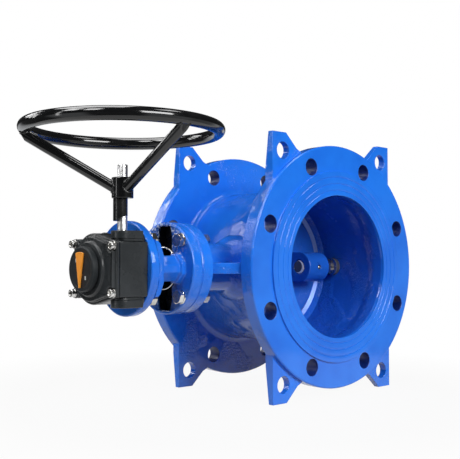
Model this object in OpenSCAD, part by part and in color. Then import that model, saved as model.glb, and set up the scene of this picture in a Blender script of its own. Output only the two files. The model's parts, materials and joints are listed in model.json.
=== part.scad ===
// Double eccentric butterfly valve with worm gearbox and handwheel.
// Frame: +Z up, +Y along the pipe, the gearbox on the -X side, millimetres.
// The origin is the centre of the front flange's bolt circle, on its bolting face.

/* [Pipe flanges] */
// Nominal bore through the body
bore_d = 200; // [165:1:245]
// Distance between the two raised faces
face_to_face = 230; // [190:1:300]
// Outside diameter of each pipe flange
flange_d = 340; // [335:1:420]
// Thickness of each flange plate behind its raised face
flange_t = 21.5; // [18:0.5:30]
// Bolt circle diameter
bolt_circle_d = 295; // [290:1:300]
// Bolt hole diameter
bolt_hole_d = 23; // [18:0.5:26]
// Number of bolt holes in each flange
bolt_count = 8; // [8:4:8]
// Raised face diameter
raised_d = 268; // [260:1:270]
// Raised face height
raised_h = 3; // [2:0.5:5]

/* [Mounting ears] */
// Distance from the valve centre to the outer side of each ear
ear_x = 125; // [115:1:135]
// Width of the flat tip of each ear
ear_tip_w = 26; // [22:1:36]
// How far the ear tips reach past the flange rim
ear_reach = 10; // [6:1:30]
// Ear thickness at the flange rim
ear_root_t = 14; // [10:0.5:18]
// Ear thickness at the tip
ear_tip_t = 8; // [6:0.5:12]
// How far the front ears are set back behind the bolting face
ear_setback = 7; // [0:0.5:7]
// Diameter of the hole in each ear
ear_hole_d = 23; // [16:0.5:26]

/* [Body barrel] */
// Thickness of the barrel wall
wall_t = 8; // [6:0.5:16]
// Extra inside radius of the belly that the disc swings in
belly_h = 5; // [3:0.5:10]
// Thickness of the flat webs between necks and flanges
web_t = 14; // [8:1:24]
// Outside diameter of the two shaft necks
neck_d = 66; // [60:1:80]
// Length of the drive neck from the barrel to the bracket
neck_reach = 102; // [85:1:140]
// Diameter of the drive neck's flange
neck_flange_d = 120; // [116:1:130]
// Thickness of the drive neck's flange
neck_flange_t = 15.5; // [12:0.5:24]
// Length of the blind neck from the barrel to its cover
blind_reach = 27; // [27:1:50]

/* [Disc and seat] */
// Distance from the front bolting face to the shaft axis
shaft_y = 100; // [92:1:112]
// Height of the shaft axis above the pipe axis, the second offset
shaft_z = -1.5; // [-4:0.5:0]
// Distance from the shaft axis to the sealing plane, the first offset
seat_offset = 29.5; // [28:0.5:36]
// How far the seat crest stands inside the bore
seat_h = 7.5; // [7:0.5:12]
// Clearance between the seat crest and the seal ring
seal_gap = 0.5; // [0.4:0.1:1]
// Disc shaft bosses, outside diameter
disc_boss_d = 45; // [38:1:50]
// Gap between the two disc bosses
disc_boss_gap = 51.4; // [40:0.2:60]
// Length of each disc boss along the shaft
disc_boss_len = 44.3; // [38:0.1:52]
// Thickness of the disc at its rim
disc_t = 18; // [16:0.5:24]
// Shaft diameter
shaft_d = 22; // [18:0.5:24]
// Outside diameter of the shaft bushes
bush_d = 28; // [27:0.5:36]

/* [Bracket] */
// Distance between the bracket's two outer faces
bracket_len = 80; // [70:1:110]
// Diameter of both bracket flanges
bracket_d = 120; // [118:1:140]
// Thickness of the bracket flange on the neck
bracket_base_t = 16; // [12:0.5:22]
// Thickness of the bracket flange under the gearbox
bracket_top_t = 12; // [8:0.5:18]
// Bolt circle of both bracket flanges
bracket_pcd = 102; // [100:1:104]
// Height of each bracket post's section
post_h = 33; // [26:1:38]
// Width of each bracket post's section, outwards from the shaft
post_w = 26; // [20:1:28]
// Distance from the shaft axis to the middle of each post
post_offset = 30; // [30:1:34]
// Width of the windows cored into the neck-side bracket flange
window_w = 31; // [24:1:34]

/* [Gearbox] */
// Depth of the gearbox housing along the shaft
housing_len = 41; // [38:1:60]
// Radius of the housing around the shaft
housing_r = 43.5; // [40:0.5:50]
// Distance from the shaft axis to the worm axis
worm_offset = 38; // [36:1:44]
// Height of the block around the worm
worm_block_h = 65; // [58:1:76]
// Thickness of the gearbox cover
cover_t = 9; // [6:0.5:14]
// Indicator cap diameter
cap_d = 55; // [46:1:60]
// Input shaft diameter
input_d = 12; // [10:0.5:15]
// Height of the bearing bosses
worm_boss_h = 9.5; // [6:0.5:16]

/* [Handwheel] */
// Diameter of the handwheel rim, to the middle of its tube
wheel_d = 230; // [180:1:320]
// Diameter of the rim tube
rim_tube_d = 16; // [12:0.5:22]
// Height of the rim above the shaft axis
wheel_h = 166.5; // [150:1:220]
// Diameter of the three spokes
spoke_d = 13; // [10:0.5:14]
// Hub diameter
hub_d = 26; // [24:0.5:34]
// Hub height
hub_h = 25; // [22:1:34]
// Height of the top of the hub above the shaft axis
hub_top = 109.5; // [100:1:120]

/* [Fits] */
// Radial clearance of a running fit
run_gap = 0.05; // [0.02:0.01:0.1]
// Gap between pieces that seat on each other along a curved face
seat_gap = 0.2; // [0.1:0.05:0.3]

/* [Hidden] */

$fn = 96;
eps = 0.01;
over = 1;

// Body sizes worked out from the driving dimensions
bore_r = bore_d / 2;
flange_r = flange_d / 2;
raised_r = raised_d / 2;
belly_r = bore_r + belly_h;
barrel_r = belly_r + wall_t;
front_face = -raised_h;
rear_face = face_to_face - raised_h;
rear_bolting = rear_face - raised_h;
rear_inner = rear_bolting - flange_t;
edge_chamfer = 1.5;
root_fillet = 9;
groove_w = 1.6;
groove_depth = 0.8;
groove_rings = [raised_r - 8.5, raised_r - 18, raised_r - 27];
ear_tip_z = flange_r + ear_reach;
ear_hole_x = ear_x - 20;
ear_hole_z = ear_tip_z - 24.5;
ear_slope_x = ear_x - ear_tip_w - 21;
ear_slope_z = ear_tip_z - 20;
ear_root_x = ear_slope_x - 10;
ear_inner_z = flange_r - 40;
ear_base_x = 52;
ear_base_z = 78;

// Seat and disc sizes
seat_y = shaft_y + seat_offset;
crest_r = bore_r - seat_h;
crest_nose = 3.2;
seat_land = 2.2;
seat_lead = 5.4;
seat_tail = 6;
seat_back_r = crest_r + 4.5;
seat_lip_r = seat_back_r + 2.5;
seat_ramp = 7;
belly_start = 14;
belly_full = 34;
outlet_y = seat_y + 14;
seal_nose = 2.9;
seal_r = crest_r - seal_gap;
seal_inner_r = seal_r - 10.5;
seal_w = 2 * seal_nose;
disc_front = seat_y - 7.5;
disc_lip_r = crest_r - 2.6;
disc_hub_r = 62;
disc_back = disc_front + disc_t;
disc_dome_h = 11;
retainer_r = crest_r - 4;
retainer_screw_r = (disc_hub_r + seal_inner_r) / 2 + 1;
retainer_screw_n = 12;
retainer_screw_d = 5;
retainer_screw_bite = 4;
retainer_head_d = 9.5;
retainer_head_h = 2.8;
retainer_nose = 1.5;
retainer_chamfer = 3;
boss_x0 = disc_boss_gap / 2;
boss_x1 = boss_x0 + disc_boss_len;
shaft_r = shaft_d / 2;
pin_d = 6.5;
pin_x = (boss_x0 + boss_x1) / 2;

// Necks, glands and bushes, as distances along X from the valve centre
neck_face = barrel_r + neck_reach;
neck_back = neck_face - neck_flange_t;
bush_in = belly_r - 14;
bush_len = 38;
bush_r = bush_d / 2;
gland_r = 28;
gland_depth = 15;
gland_wall = 1.8;
spigot_r = 43;
spigot_h = 1.2;
gasket_t = 1.5;
neck_mouth_r = neck_d / 2 + 9;
neck_mouth_len = 26;
web_reach = 165;
blind_web_reach = 153;
blind_face = barrel_r + blind_reach;
blind_flange_t = 12;
blind_flange_r = 46;
end_cover_t = 10;
end_bolt_pcd = 72;
end_bolt_d = 10;

// Bracket, as distances along X in the -X direction
bracket_in = neck_face + gasket_t;
bracket_out = bracket_in + bracket_len;
base_face = bracket_in + bracket_base_t;
top_back = bracket_out - bracket_top_t;
post_chamfer = 12;
post_foot_len = 7;
post_foot_flare = 2.5;
flare_half = 34.5;
flare_out = 48.8;
flare_in = 30;
flare_len = 15.5;
flare_tip = 10;
flare_chamfer = 4;
bracket_hub_r = 38;
bracket_hub_t = 8;
shaft_room = 5;
window_r = bracket_d / 2 - 5.5;
window_slope = 12.5;
window_narrow = 3.5;
frame_bolt_d = 10;
frame_hole_d = 11;
bolt_flats = 16;
bolt_head_h = 6.4;
nut_h = 8.4;
thread_end = 3;
washer_d = 18;
washer_t = 2;
washer_room = 0.4;

// Gearbox
housing_out = bracket_out + housing_len;
cover_out = housing_out + cover_t;
cover_seat = housing_out + 4;
cover_step = 4;
cover_side = 43;
worm_y = shaft_y - worm_offset;
worm_front = worm_y - 14;
worm_x = housing_out - 13;
worm_boss_r = 13.5;
foot_t = 7;
foot_r = 46;
foot_lug_r = 10;
gearbox_bolt_bite = foot_t - 0.5;
worm_boss_back = bracket_out + foot_t;
worm_neck_h = 4;
worm_neck_inset = 1.5;
block_half = worm_block_h / 2;
block_top = shaft_z + block_half;
block_bottom = shaft_z - block_half;
boss_top = block_top + worm_neck_h + worm_boss_h;
boss_bottom = block_bottom - worm_neck_h - worm_boss_h;
collar_r = 33;
collar_h = 3;
cap_gap = 1;
cap_r = cap_d / 2;
cap_t = 8;
cap_in = cover_out + collar_h + cap_gap;
cap_out = cap_in + cap_t;
pointer_t = 2.5;
pointer_tip_r = 22.5;
pointer_tip_w = 1.2;
pointer_head_r = 20.6;
pointer_spread = 22.5;
screw_spots = [[41, 30.5], [41, -30.5], [-45, 27.8], [-45, -27.8]];
lug_r = 6.5;
lug_root = 14;
screw_room_r = 7;
lug_len = 25;
cover_screw_d = 6;
cover_head_d = 10;
cover_head_h = 6;
cover_screw_len = 10;

// Handwheel
input_r = input_d / 2;
rim_z = shaft_z + wheel_h;
hub_top_z = shaft_z + hub_top;
hub_bottom = hub_top_z - hub_h;
input_top = hub_top_z + 15.5;
input_bottom = block_bottom + 2;
input_chamfer = 1;
hub_pin_d = 4;
hub_pin_h = 6;
sleeve_r = 8.7;
sleeve_shift = 2.5;
sleeve_len = 27;
sleeve_cut = 8;
sleeve_turn = 135;
wheel_r = wheel_d / 2;
rim_r = rim_tube_d / 2;
spoke_r = spoke_d / 2;
spoke_foot_z = hub_top_z - 18.5;
spoke_head_drop = 9;
spoke_angles = [270, 150, 30];

// Polygon points of an arc about (cx, cy)
function arc(cx, cy, r, a0, a1, n = 8) =
    [for (i = [0 : n]) [cx + r * cos(a0 + (a1 - a0) * i / n), cy + r * sin(a0 + (a1 - a0) * i / n)]];

// Turns a profile of [radius, y] points about the pipe axis
module about_pipe() {
    rotate([-90, 0, 0]) rotate_extrude($fn = 144) children();
}

// Places children on the shaft axis, with their local +Z along -X, starting at distance x
module on_shaft(x) {
    translate([-x, shaft_y, shaft_z]) rotate([0, -90, 0]) children();
}

// Round bar on the shaft axis between two distances along -X
module shaft_bar(x0, x1, r) {
    on_shaft(x0) cylinder(h = x1 - x0, r = r);
}

// Repeats children at the four bolts of a square pattern around the shaft
module square_bolts(pcd) {
    for (a = [45 : 90 : 315])
        translate([0, pcd / 2 * cos(a), pcd / 2 * sin(a)]) children();
}

// Hexagonal prism along local +Z
module hex_prism(across_flats, h) {
    cylinder(h = h, d = across_flats / cos(30), $fn = 6);
}

// Hexagon head or nut, turned down on its free side
module hex_head(across_flats, h) {
    intersection() {
        hex_prism(across_flats, h);
        union() {
            cylinder(h = h - 1, d = across_flats * 1.2);
            translate([0, 0, h - 1]) cylinder(h = 1, d1 = across_flats * 1.15, d2 = across_flats * 0.98);
        }
    }
}

// ---------------------------------------------------------------- body

module flange_profile(y0, raised_side) {
    // raised_side is -1 where the raised face is on the low side, +1 on the high side
    y1 = y0 + flange_t;
    polygon([[bore_r - 20, y0], [flange_r - edge_chamfer, y0], [flange_r, y0 + edge_chamfer],
             [flange_r, y1 - edge_chamfer], [flange_r - edge_chamfer, y1], [bore_r - 20, y1]]);
    translate([bore_r - 20, raised_side < 0 ? y0 - raised_h : y1 - eps])
        square([raised_r - bore_r + 20, raised_h + eps]);
}

module barrel_profile() {
    polygon(concat(
        [[bore_r - 20, flange_t - eps]],
        [[barrel_r + root_fillet, flange_t - eps]],
        arc(barrel_r + root_fillet, flange_t + root_fillet, root_fillet, 270, 180),
        arc(barrel_r + root_fillet, rear_inner - root_fillet, root_fillet, 180, 90),
        [[barrel_r + root_fillet, rear_inner + eps]],
        [[bore_r - 20, rear_inner + eps]]));
}

// Waterway: bore, belly, seat ridge and outlet as one turned void
module waterway_profile() {
    polygon([[0, front_face - over], [bore_r, front_face - over], [bore_r, belly_start],
             [belly_r, belly_full], [belly_r, seat_y - seat_lead - seat_ramp],
             [seat_lip_r, seat_y - seat_lead], [seat_lip_r, seat_y - seat_land],
             [seat_back_r, seat_y - seat_land], [seat_back_r, seat_y + seat_tail],
             [bore_r, outlet_y], [bore_r, rear_face + over], [0, rear_face + over]]);
}

module ear_outline() {
    root_z = sqrt(flange_r * flange_r - ear_root_x * ear_root_x) - edge_chamfer / 3;
    polygon([[ear_base_x, ear_inner_z], [ear_x, ear_base_z], [ear_x, ear_tip_z],
             [ear_x - ear_tip_w, ear_tip_z], [ear_slope_x, ear_slope_z], [ear_root_x, root_z]]);
}

// Mirrors children to the given side of X and Z
module mirrored(sx, sz) {
    mirror([sx < 0 ? 1 : 0, 0, 0]) mirror([0, 0, sz < 0 ? 1 : 0]) children();
}

// Four ears of one flange; face_y is their flat side, the other side tapers
module ears(face_y) {
    root_y = face_y + ear_root_t;
    tip_y = face_y + ear_tip_t;
    for (sx = [-1, 1], sz = [-1, 1])
        mirrored(sx, sz) intersection() {
            translate([0, face_y, 0]) rotate([-90, 0, 0]) mirror([0, 1, 0])
                linear_extrude(ear_root_t) ear_outline();
            rotate([90, 0, 90]) linear_extrude(ear_x + over)
                polygon([[face_y, 0], [root_y, 0], [root_y, ear_inner_z], [tip_y, ear_tip_z + over],
                         [face_y, ear_tip_z + over]]);
        }
}

module webs() {
    // flat webs in the shaft plane, from both necks to both flanges
    translate([0, 0, shaft_z - web_t / 2]) linear_extrude(web_t) {
        polygon([[-barrel_r + 4, flange_t - over], [-web_reach, flange_t - over],
                 [-neck_back - over, shaft_y - neck_d / 2 - 6],
                 [-neck_back - over, shaft_y + neck_d / 2 + 6],
                 [-web_reach, rear_inner + over], [-barrel_r + 4, rear_inner + over]]);
        polygon([[barrel_r - 4, flange_t - over], [blind_web_reach, flange_t - over],
                 [blind_face - blind_flange_t + over, shaft_y - neck_d / 2],
                 [blind_face - blind_flange_t + over, shaft_y + neck_d / 2],
                 [blind_web_reach, rear_inner + over], [barrel_r - 4, rear_inner + over]]);
    }
}

module bolt_holes() {
    for (i = [0 : bolt_count - 1]) {
        a = 180 / bolt_count + i * 360 / bolt_count;
        translate([bolt_circle_d / 2 * cos(a), front_face - over, bolt_circle_d / 2 * sin(a)])
            rotate([-90, 0, 0]) cylinder(h = flange_t + raised_h + 2 * over, d = bolt_hole_d);
        translate([bolt_circle_d / 2 * cos(a), rear_inner - over, bolt_circle_d / 2 * sin(a)])
            rotate([-90, 0, 0]) cylinder(h = flange_t + raised_h + 2 * over, d = bolt_hole_d);
    }
}

module ear_holes() {
    for (sx = [-1, 1], sz = [-1, 1], y = [ear_setback, rear_inner])
        translate([sx * ear_hole_x, y - over, sz * ear_hole_z])
            rotate([-90, 0, 0]) cylinder(h = ear_root_t + 2 * over, d = ear_hole_d);
}

module face_grooves() {
    for (r = groove_rings, y = [front_face - over, rear_face - groove_depth])
        translate([0, y, 0]) rotate([-90, 0, 0]) difference() {
            cylinder(h = groove_depth + over, r = r + groove_w / 2);
            translate([0, 0, -over]) cylinder(h = groove_depth + 3 * over, r = r - groove_w / 2);
        }
}

module body_casting() {
    color("royalblue") difference() {
        union() {
            about_pipe() {
                flange_profile(0, -1);
                barrel_profile();
                flange_profile(rear_inner, 1);
            }
            ears(ear_setback);
            ears(rear_inner);
            webs();
            shaft_bar(0, neck_face - over, neck_d / 2);
            shaft_bar(barrel_r - 12, barrel_r, neck_mouth_r + 4);
            on_shaft(barrel_r) cylinder(h = neck_mouth_len, r1 = neck_mouth_r + 4, r2 = neck_d / 2);
            shaft_bar(neck_back, neck_face, neck_flange_d / 2);
            shaft_bar(neck_face - over, neck_face + spigot_h, spigot_r);
            on_shaft(neck_back - 8) cylinder(h = 8 + eps, r1 = neck_d / 2, r2 = neck_d / 2 + 8);
            shaft_bar(-blind_face, 0, neck_d / 2);
            shaft_bar(-blind_face, -blind_face + blind_flange_t, blind_flange_r);
        }
        about_pipe() waterway_profile();
        bolt_holes();
        ear_holes();
        face_grooves();
        shaft_bar(bush_in - 20, bush_in + bush_len, bush_r);
        shaft_bar(bush_in, neck_face + over, shaft_r + run_gap);
        shaft_bar(neck_face - gland_depth, neck_face + spigot_h + over, gland_r + run_gap);
        shaft_bar(-blind_face - over, -bush_in + 20, bush_r);
        square_bolts(bracket_pcd) on_shaft(neck_back - over)
            cylinder(h = neck_flange_t + 2 * over, d = frame_hole_d);
        square_bolts(end_bolt_pcd) on_shaft(-blind_face - over)
            cylinder(h = blind_flange_t - 1 + over, d = end_bolt_d + 2 * run_gap);
    }
}

// Stainless ring on the seat ridge: a flat front face and a rounded crest
module seat_ring() {
    back_r = seat_back_r - run_gap;
    lip_r = seat_lip_r - seat_gap;
    color("lightsteelblue") about_pipe() polygon(concat(
        [[lip_r, seat_y - seat_lead]],
        arc(crest_r + crest_nose, seat_y, crest_nose, 245, 115, 12),
        [[back_r, seat_y + seat_tail], [back_r, seat_y - seat_land], [lip_r, seat_y - seat_land]]));
}

module drive_bush() {
    color("#202022") difference() {
        shaft_bar(bush_in, bush_in + bush_len, bush_r - run_gap);
        shaft_bar(bush_in - over, bush_in + bush_len + over, shaft_r + run_gap);
    }
}

module end_bush() {
    color("#202022") difference() {
        shaft_bar(-bush_in - bush_len, -bush_in, bush_r - run_gap);
        shaft_bar(-bush_in - bush_len - over, -bush_in + over, shaft_r + run_gap);
    }
}

module end_cover() {
    color("royalblue") difference() {
        union() {
            shaft_bar(-blind_face - end_cover_t, -blind_face, blind_flange_r);
            shaft_bar(-blind_face - eps, -bush_in - bush_len, bush_r - seat_gap);
        }
        shaft_bar(-blind_face - end_cover_t - over, -blind_face - end_cover_t + 2, blind_flange_r - 18);
        square_bolts(end_bolt_pcd) on_shaft(-blind_face - end_cover_t - over)
            cylinder(h = end_cover_t + 2 * over, d = end_bolt_d + 1);
    }
}

module end_cover_bolts() {
    color("silver") square_bolts(end_bolt_pcd) {
        on_shaft(-blind_face - end_cover_t) mirror([0, 0, 1]) hex_head(bolt_flats, bolt_head_h);
        on_shaft(-blind_face - end_cover_t) cylinder(h = end_cover_t + blind_flange_t - 2, d = end_bolt_d);
    }
}

module gland_sleeve() {
    color("silver") difference() {
        shaft_bar(neck_face - gland_depth, base_face + 2, gland_r);
        shaft_bar(neck_face - gland_depth - over, base_face + 2 + over, shaft_r + run_gap);
        shaft_bar(bracket_in + 2, base_face + 2 + over, gland_r - gland_wall);
    }
}

module neck_gasket() {
    color("#18181a") difference() {
        shaft_bar(neck_face, bracket_in, bracket_d / 2 - 2);
        shaft_bar(neck_face - over, bracket_in + over, spigot_r + seat_gap);
        square_bolts(bracket_pcd) on_shaft(neck_face - over)
            cylinder(h = gasket_t + 2 * over, d = frame_hole_d + 1);
    }
}

// ------------------------------------------------------------- bracket

// Section of one post in (y, z) about the shaft, its outer corners cut off
module post_outline(side, grow) {
    inner = post_offset - post_w / 2 - grow;
    outer = post_offset + post_w / 2 + grow;
    half = post_h / 2 + grow;
    polygon([[side * inner, -half], [side * (outer - post_chamfer), -half],
             [side * outer, -half + post_chamfer], [side * outer, half - post_chamfer],
             [side * (outer - post_chamfer), half], [side * inner, half]]);
}

module post(side) {
    along_shaft(base_face - over, top_back + over) post_outline(side, 0);
    along_shaft(base_face - eps, base_face + post_foot_len) post_outline(side, post_foot_flare);
}

// Gusset that widens one post towards the gearbox, its outer corners cut off, drawn in (x, z)
module post_flare(side) {
    tip_x = -top_back + flare_tip;
    translate([0, shaft_y + (side > 0 ? flare_out : -flare_in), shaft_z]) rotate([90, 0, 0])
        linear_extrude(flare_out - flare_in)
            polygon([[-top_back - over, -flare_half], [tip_x - flare_chamfer, -flare_half],
                     [tip_x, -flare_half + flare_chamfer], [-top_back + flare_len, -post_h / 2 + 1],
                     [-top_back + flare_len, post_h / 2 - 1], [tip_x, flare_half - flare_chamfer],
                     [tip_x - flare_chamfer, flare_half], [-top_back - over, flare_half]]);
}

// Outline of the two windows in the neck-side flange, in (y, z) about the shaft
module window_outline() {
    wide = window_w / 2;
    top = wide - window_narrow;
    low = window_r - window_slope;
    polygon([[-wide, -low], [-top, -window_r], [top, -window_r], [wide, -low],
             [wide, low], [top, window_r], [-top, window_r], [-wide, low]]);
}

module bracket() {
    color("royalblue") difference() {
        union() {
            shaft_bar(bracket_in, base_face, bracket_d / 2);
            shaft_bar(top_back, bracket_out, bracket_d / 2);
            shaft_bar(top_back - bracket_hub_t, top_back + eps, bracket_hub_r);
            post(-1);
            post(1);
            post_flare(-1);
            post_flare(1);
        }
        shaft_bar(bracket_in - over, base_face + post_foot_len + over, gland_r + seat_gap);
        along_shaft(bracket_in - over, base_face + over) window_outline();
        shaft_bar(top_back - bracket_hub_t - over, bracket_out + over, shaft_r + shaft_room);
        square_bolts(bracket_pcd) {
            on_shaft(bracket_in - over) cylinder(h = bracket_base_t + 2 * over, d = frame_hole_d);
            on_shaft(top_back - over) cylinder(h = bracket_top_t + 2 * over, d = frame_hole_d);
            on_shaft(base_face) cylinder(h = post_foot_len + over, r = washer_d / 2 + washer_room);
            on_shaft(top_back - flare_len - over)
                cylinder(h = flare_len + over, r = washer_d / 2 + washer_room);
        }
    }
}

module neck_bolts() {
    color("silver") square_bolts(bracket_pcd) {
        on_shaft(base_face) cylinder(h = washer_t, d = washer_d);
        on_shaft(base_face + washer_t - eps) hex_head(bolt_flats, bolt_head_h);
        on_shaft(neck_back - nut_h - thread_end)
            cylinder(h = base_face - neck_back + nut_h + thread_end + eps, d = frame_bolt_d);
    }
}

module neck_nuts() {
    color("silver") square_bolts(bracket_pcd) difference() {
        on_shaft(neck_back) mirror([0, 0, 1]) hex_head(bolt_flats, nut_h);
        on_shaft(neck_back - nut_h - over) cylinder(h = nut_h + 2 * over, d = frame_bolt_d + 2 * run_gap);
    }
}

module gearbox_bolts() {
    color("silver") square_bolts(bracket_pcd) {
        on_shaft(top_back) mirror([0, 0, 1]) cylinder(h = washer_t, d = washer_d);
        on_shaft(top_back - washer_t + eps) mirror([0, 0, 1]) hex_head(bolt_flats, bolt_head_h);
        on_shaft(top_back - eps) cylinder(h = bracket_top_t + gearbox_bolt_bite, d = frame_bolt_d);
    }
}

// ------------------------------------------------------------- gearbox

// Tangent points from a corner to the round part of the housing, in (y, z) about the shaft
function tangent_point(p, r, side) =
    let (d = norm(p), a = atan2(p[1], p[0]) + side * acos(r / d)) [r * cos(a), r * sin(a)];

// Outline of the housing about the shaft: a drum that narrows to the worm block
module housing_outline(inset = 0) {
    corner_y = worm_front - shaft_y + inset;
    r = housing_r - inset;
    upper = [corner_y, block_half - inset];
    lower = [corner_y, inset - block_half];
    circle(r = r);
    polygon([upper, tangent_point(upper, r, -1), [0, 0], tangent_point(lower, r, 1), lower]);
}

// Extrudes an outline drawn in (y, z) about the shaft, from distance x0 to x1 along -X
module along_shaft(x0, x1) {
    translate([-x1, shaft_y, shaft_z]) rotate([90, 0, 90]) linear_extrude(x1 - x0) children();
}

module screw_lugs(x0, x1) {
    along_shaft(x0, x1)
        for (p = screw_spots) {
            translate(p) circle(r = lug_r);
            rotate(atan2(p[1], p[0])) translate([norm(p) - lug_root, 1 - lug_r])
                square([lug_root, 2 * lug_r - 2]);
        }
}

module worm_boss_outline(r) {
    // in (x, y) about the worm axis: round towards the cover, square towards the bracket
    circle(r = r);
    translate([0, -r]) square([worm_x - worm_boss_back, 2 * r]);
}

module gearbox_housing() {
    color("#2c2e30") difference() {
        union() {
            along_shaft(bracket_out, housing_out) housing_outline();
            screw_lugs(housing_out - lug_len, housing_out);
            shaft_bar(bracket_out, bracket_out + foot_t, foot_r);
            square_bolts(bracket_pcd) on_shaft(bracket_out) cylinder(h = foot_t, r = foot_lug_r);
        }
        shaft_bar(bracket_out - over, housing_out + over, shaft_r + run_gap);
        translate([-worm_x, worm_y, input_bottom])
            cylinder(h = boss_top - input_bottom, r = input_r + run_gap);
        square_bolts(bracket_pcd) on_shaft(bracket_out - over)
            cylinder(h = gearbox_bolt_bite + over, d = frame_bolt_d + 2 * run_gap);
        for (p = screw_spots)
            translate([0, p[0], p[1]])
                shaft_bar(cover_seat - cover_screw_len, housing_out + over, cover_screw_d / 2 + run_gap);
    }
}

module top_bearing_cap() {
    color("#2c2e30") difference() {
        translate([-worm_x, worm_y, 0]) {
            translate([0, 0, block_top])
                linear_extrude(worm_neck_h) worm_boss_outline(worm_boss_r - worm_neck_inset);
            translate([0, 0, block_top + worm_neck_h - eps])
                linear_extrude(worm_boss_h + eps) worm_boss_outline(worm_boss_r);
        }
        translate([-worm_x, worm_y, block_top - over])
            cylinder(h = boss_top - block_top + 2 * over, r = input_r + run_gap);
        along_shaft(bracket_out, cover_out) housing_outline();
        screw_lugs(housing_out - lug_len, cover_out);
    }
}

module bottom_bearing_cap() {
    color("#2c2e30") difference() {
        translate([-worm_x, worm_y, 0]) {
            translate([0, 0, block_bottom - worm_neck_h])
                linear_extrude(worm_neck_h) worm_boss_outline(worm_boss_r - worm_neck_inset);
            translate([0, 0, boss_bottom])
                linear_extrude(worm_boss_h + eps) worm_boss_outline(worm_boss_r);
        }
        along_shaft(bracket_out, cover_out) housing_outline();
        screw_lugs(housing_out - lug_len, cover_out);
    }
}

module gearbox_cover() {
    color("#26282a") difference() {
        union() {
            along_shaft(housing_out, cover_seat) {
                housing_outline();
                translate([0, screw_spots[1][1]]) square([cover_side, 2 * screw_spots[0][1]]);
            }
            screw_lugs(housing_out, cover_seat);
            along_shaft(cover_seat - eps, cover_out) housing_outline(cover_step);
            shaft_bar(cover_out - eps, cover_out + collar_h, collar_r);
        }
        shaft_bar(housing_out - over, cover_out + collar_h + over, shaft_r + run_gap);
        for (p = screw_spots)
            translate([0, p[0], p[1]]) {
                shaft_bar(housing_out - over, cover_out + over, cover_screw_d / 2 + seat_gap);
                shaft_bar(cover_seat, cover_out + over, screw_room_r);
            }
    }
}

module cover_screws() {
    color("silver") for (p = screw_spots) translate([0, p[0], p[1]]) difference() {
        union() {
            shaft_bar(cover_seat - cover_screw_len + eps, cover_seat + eps, cover_screw_d / 2);
            shaft_bar(cover_seat, cover_seat + cover_head_h, cover_head_d / 2);
        }
        on_shaft(cover_seat + cover_head_h - 3) hex_prism(5, 3 + over);
    }
}

// ---------------------------------------------------------------- disc

module disc_profile() {
    polygon(concat(
        [[0, disc_front], [disc_lip_r - 2, disc_front], [disc_lip_r, disc_front + 2],
         [disc_lip_r, seat_y - seal_nose], [seal_inner_r, seat_y - seal_nose],
         [seal_inner_r, seat_y + seal_nose], [disc_hub_r, seat_y + seal_nose], [disc_hub_r, disc_back]],
        [for (i = [1 : 12]) [disc_hub_r * cos(i * 7.5), disc_back + disc_dome_h * sin(i * 7.5)]]));
}

module retainer_screw_spots() {
    for (i = [0 : retainer_screw_n - 1]) {
        a = (i + 0.5) * 360 / retainer_screw_n;
        translate([retainer_screw_r * cos(a), 0, retainer_screw_r * sin(a)]) rotate([-90, 0, 0]) children();
    }
}

module pin_spots() {
    for (x = [-pin_x, pin_x])
        translate([x, shaft_y - disc_boss_d / 2, shaft_z]) rotate([-90, 0, 0]) children();
}

module disc() {
    color("mediumblue") difference() {
        union() {
            about_pipe() disc_profile();
            for (x = [-boss_x1, boss_x0]) {
                shaft_bar(-x - disc_boss_len, -x, disc_boss_d / 2);
                translate([x, shaft_y, shaft_z - disc_boss_d / 2])
                    cube([disc_boss_len, disc_front - shaft_y + over, disc_boss_d]);
            }
        }
        shaft_bar(-boss_x1 - over, -boss_x0 + over, shaft_r + run_gap);
        shaft_bar(boss_x0 - over, boss_x1 + over, shaft_r + run_gap);
        pin_spots() translate([0, 0, -over]) cylinder(h = disc_boss_d - 2, d = pin_d + 2 * run_gap);
        retainer_screw_spots() translate([0, 0, seat_y - retainer_screw_bite - over])
            cylinder(h = disc_t, d = retainer_screw_d + 2 * run_gap);
    }
}

module disc_seal() {
    color("#1b1b1d") about_pipe() {
        translate([seal_inner_r + run_gap, seat_y - seal_nose + 0.02])
            square([seal_r - seal_nose - seal_inner_r, seal_w - 0.04]);
        translate([seal_r - seal_nose, seat_y]) circle(r = seal_nose - 0.02, $fn = 48);
    }
}

module seal_retainer() {
    color("silver") difference() {
        about_pipe()
            polygon([[disc_hub_r + seat_gap, seat_y + seal_nose],
                     [retainer_r - retainer_nose, seat_y + seal_nose],
                     [retainer_r, seat_y + seal_nose + retainer_nose],
                     [retainer_r, disc_back - retainer_chamfer],
                     [retainer_r - retainer_chamfer, disc_back], [disc_hub_r + seat_gap, disc_back]]);
        retainer_screw_spots() translate([0, 0, seat_y])
            cylinder(h = disc_t, d = retainer_screw_d + 2 * run_gap);
    }
}

module retainer_screws() {
    color("silver") retainer_screw_spots() {
        translate([0, 0, seat_y - retainer_screw_bite])
            cylinder(h = disc_back - seat_y + retainer_screw_bite + eps, d = retainer_screw_d);
        translate([0, 0, disc_back])
            cylinder(h = retainer_head_h, d1 = retainer_head_d, d2 = retainer_head_d - 3);
    }
}

module drive_shaft() {
    color("lightgray") difference() {
        shaft_bar(boss_x0, cap_in, shaft_r);
        pin_spots() translate([0, 0, -over]) cylinder(h = disc_boss_d, d = pin_d + 2 * run_gap);
    }
}

module stub_shaft() {
    color("lightgray") difference() {
        shaft_bar(-bush_in - bush_len + 1, -boss_x0, shaft_r);
        pin_spots() translate([0, 0, -over]) cylinder(h = disc_boss_d, d = pin_d + 2 * run_gap);
    }
}

module taper_pins() {
    color("silver") pin_spots() translate([0, 0, 0.6]) cylinder(h = disc_boss_d - 5, d = pin_d);
}

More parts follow.
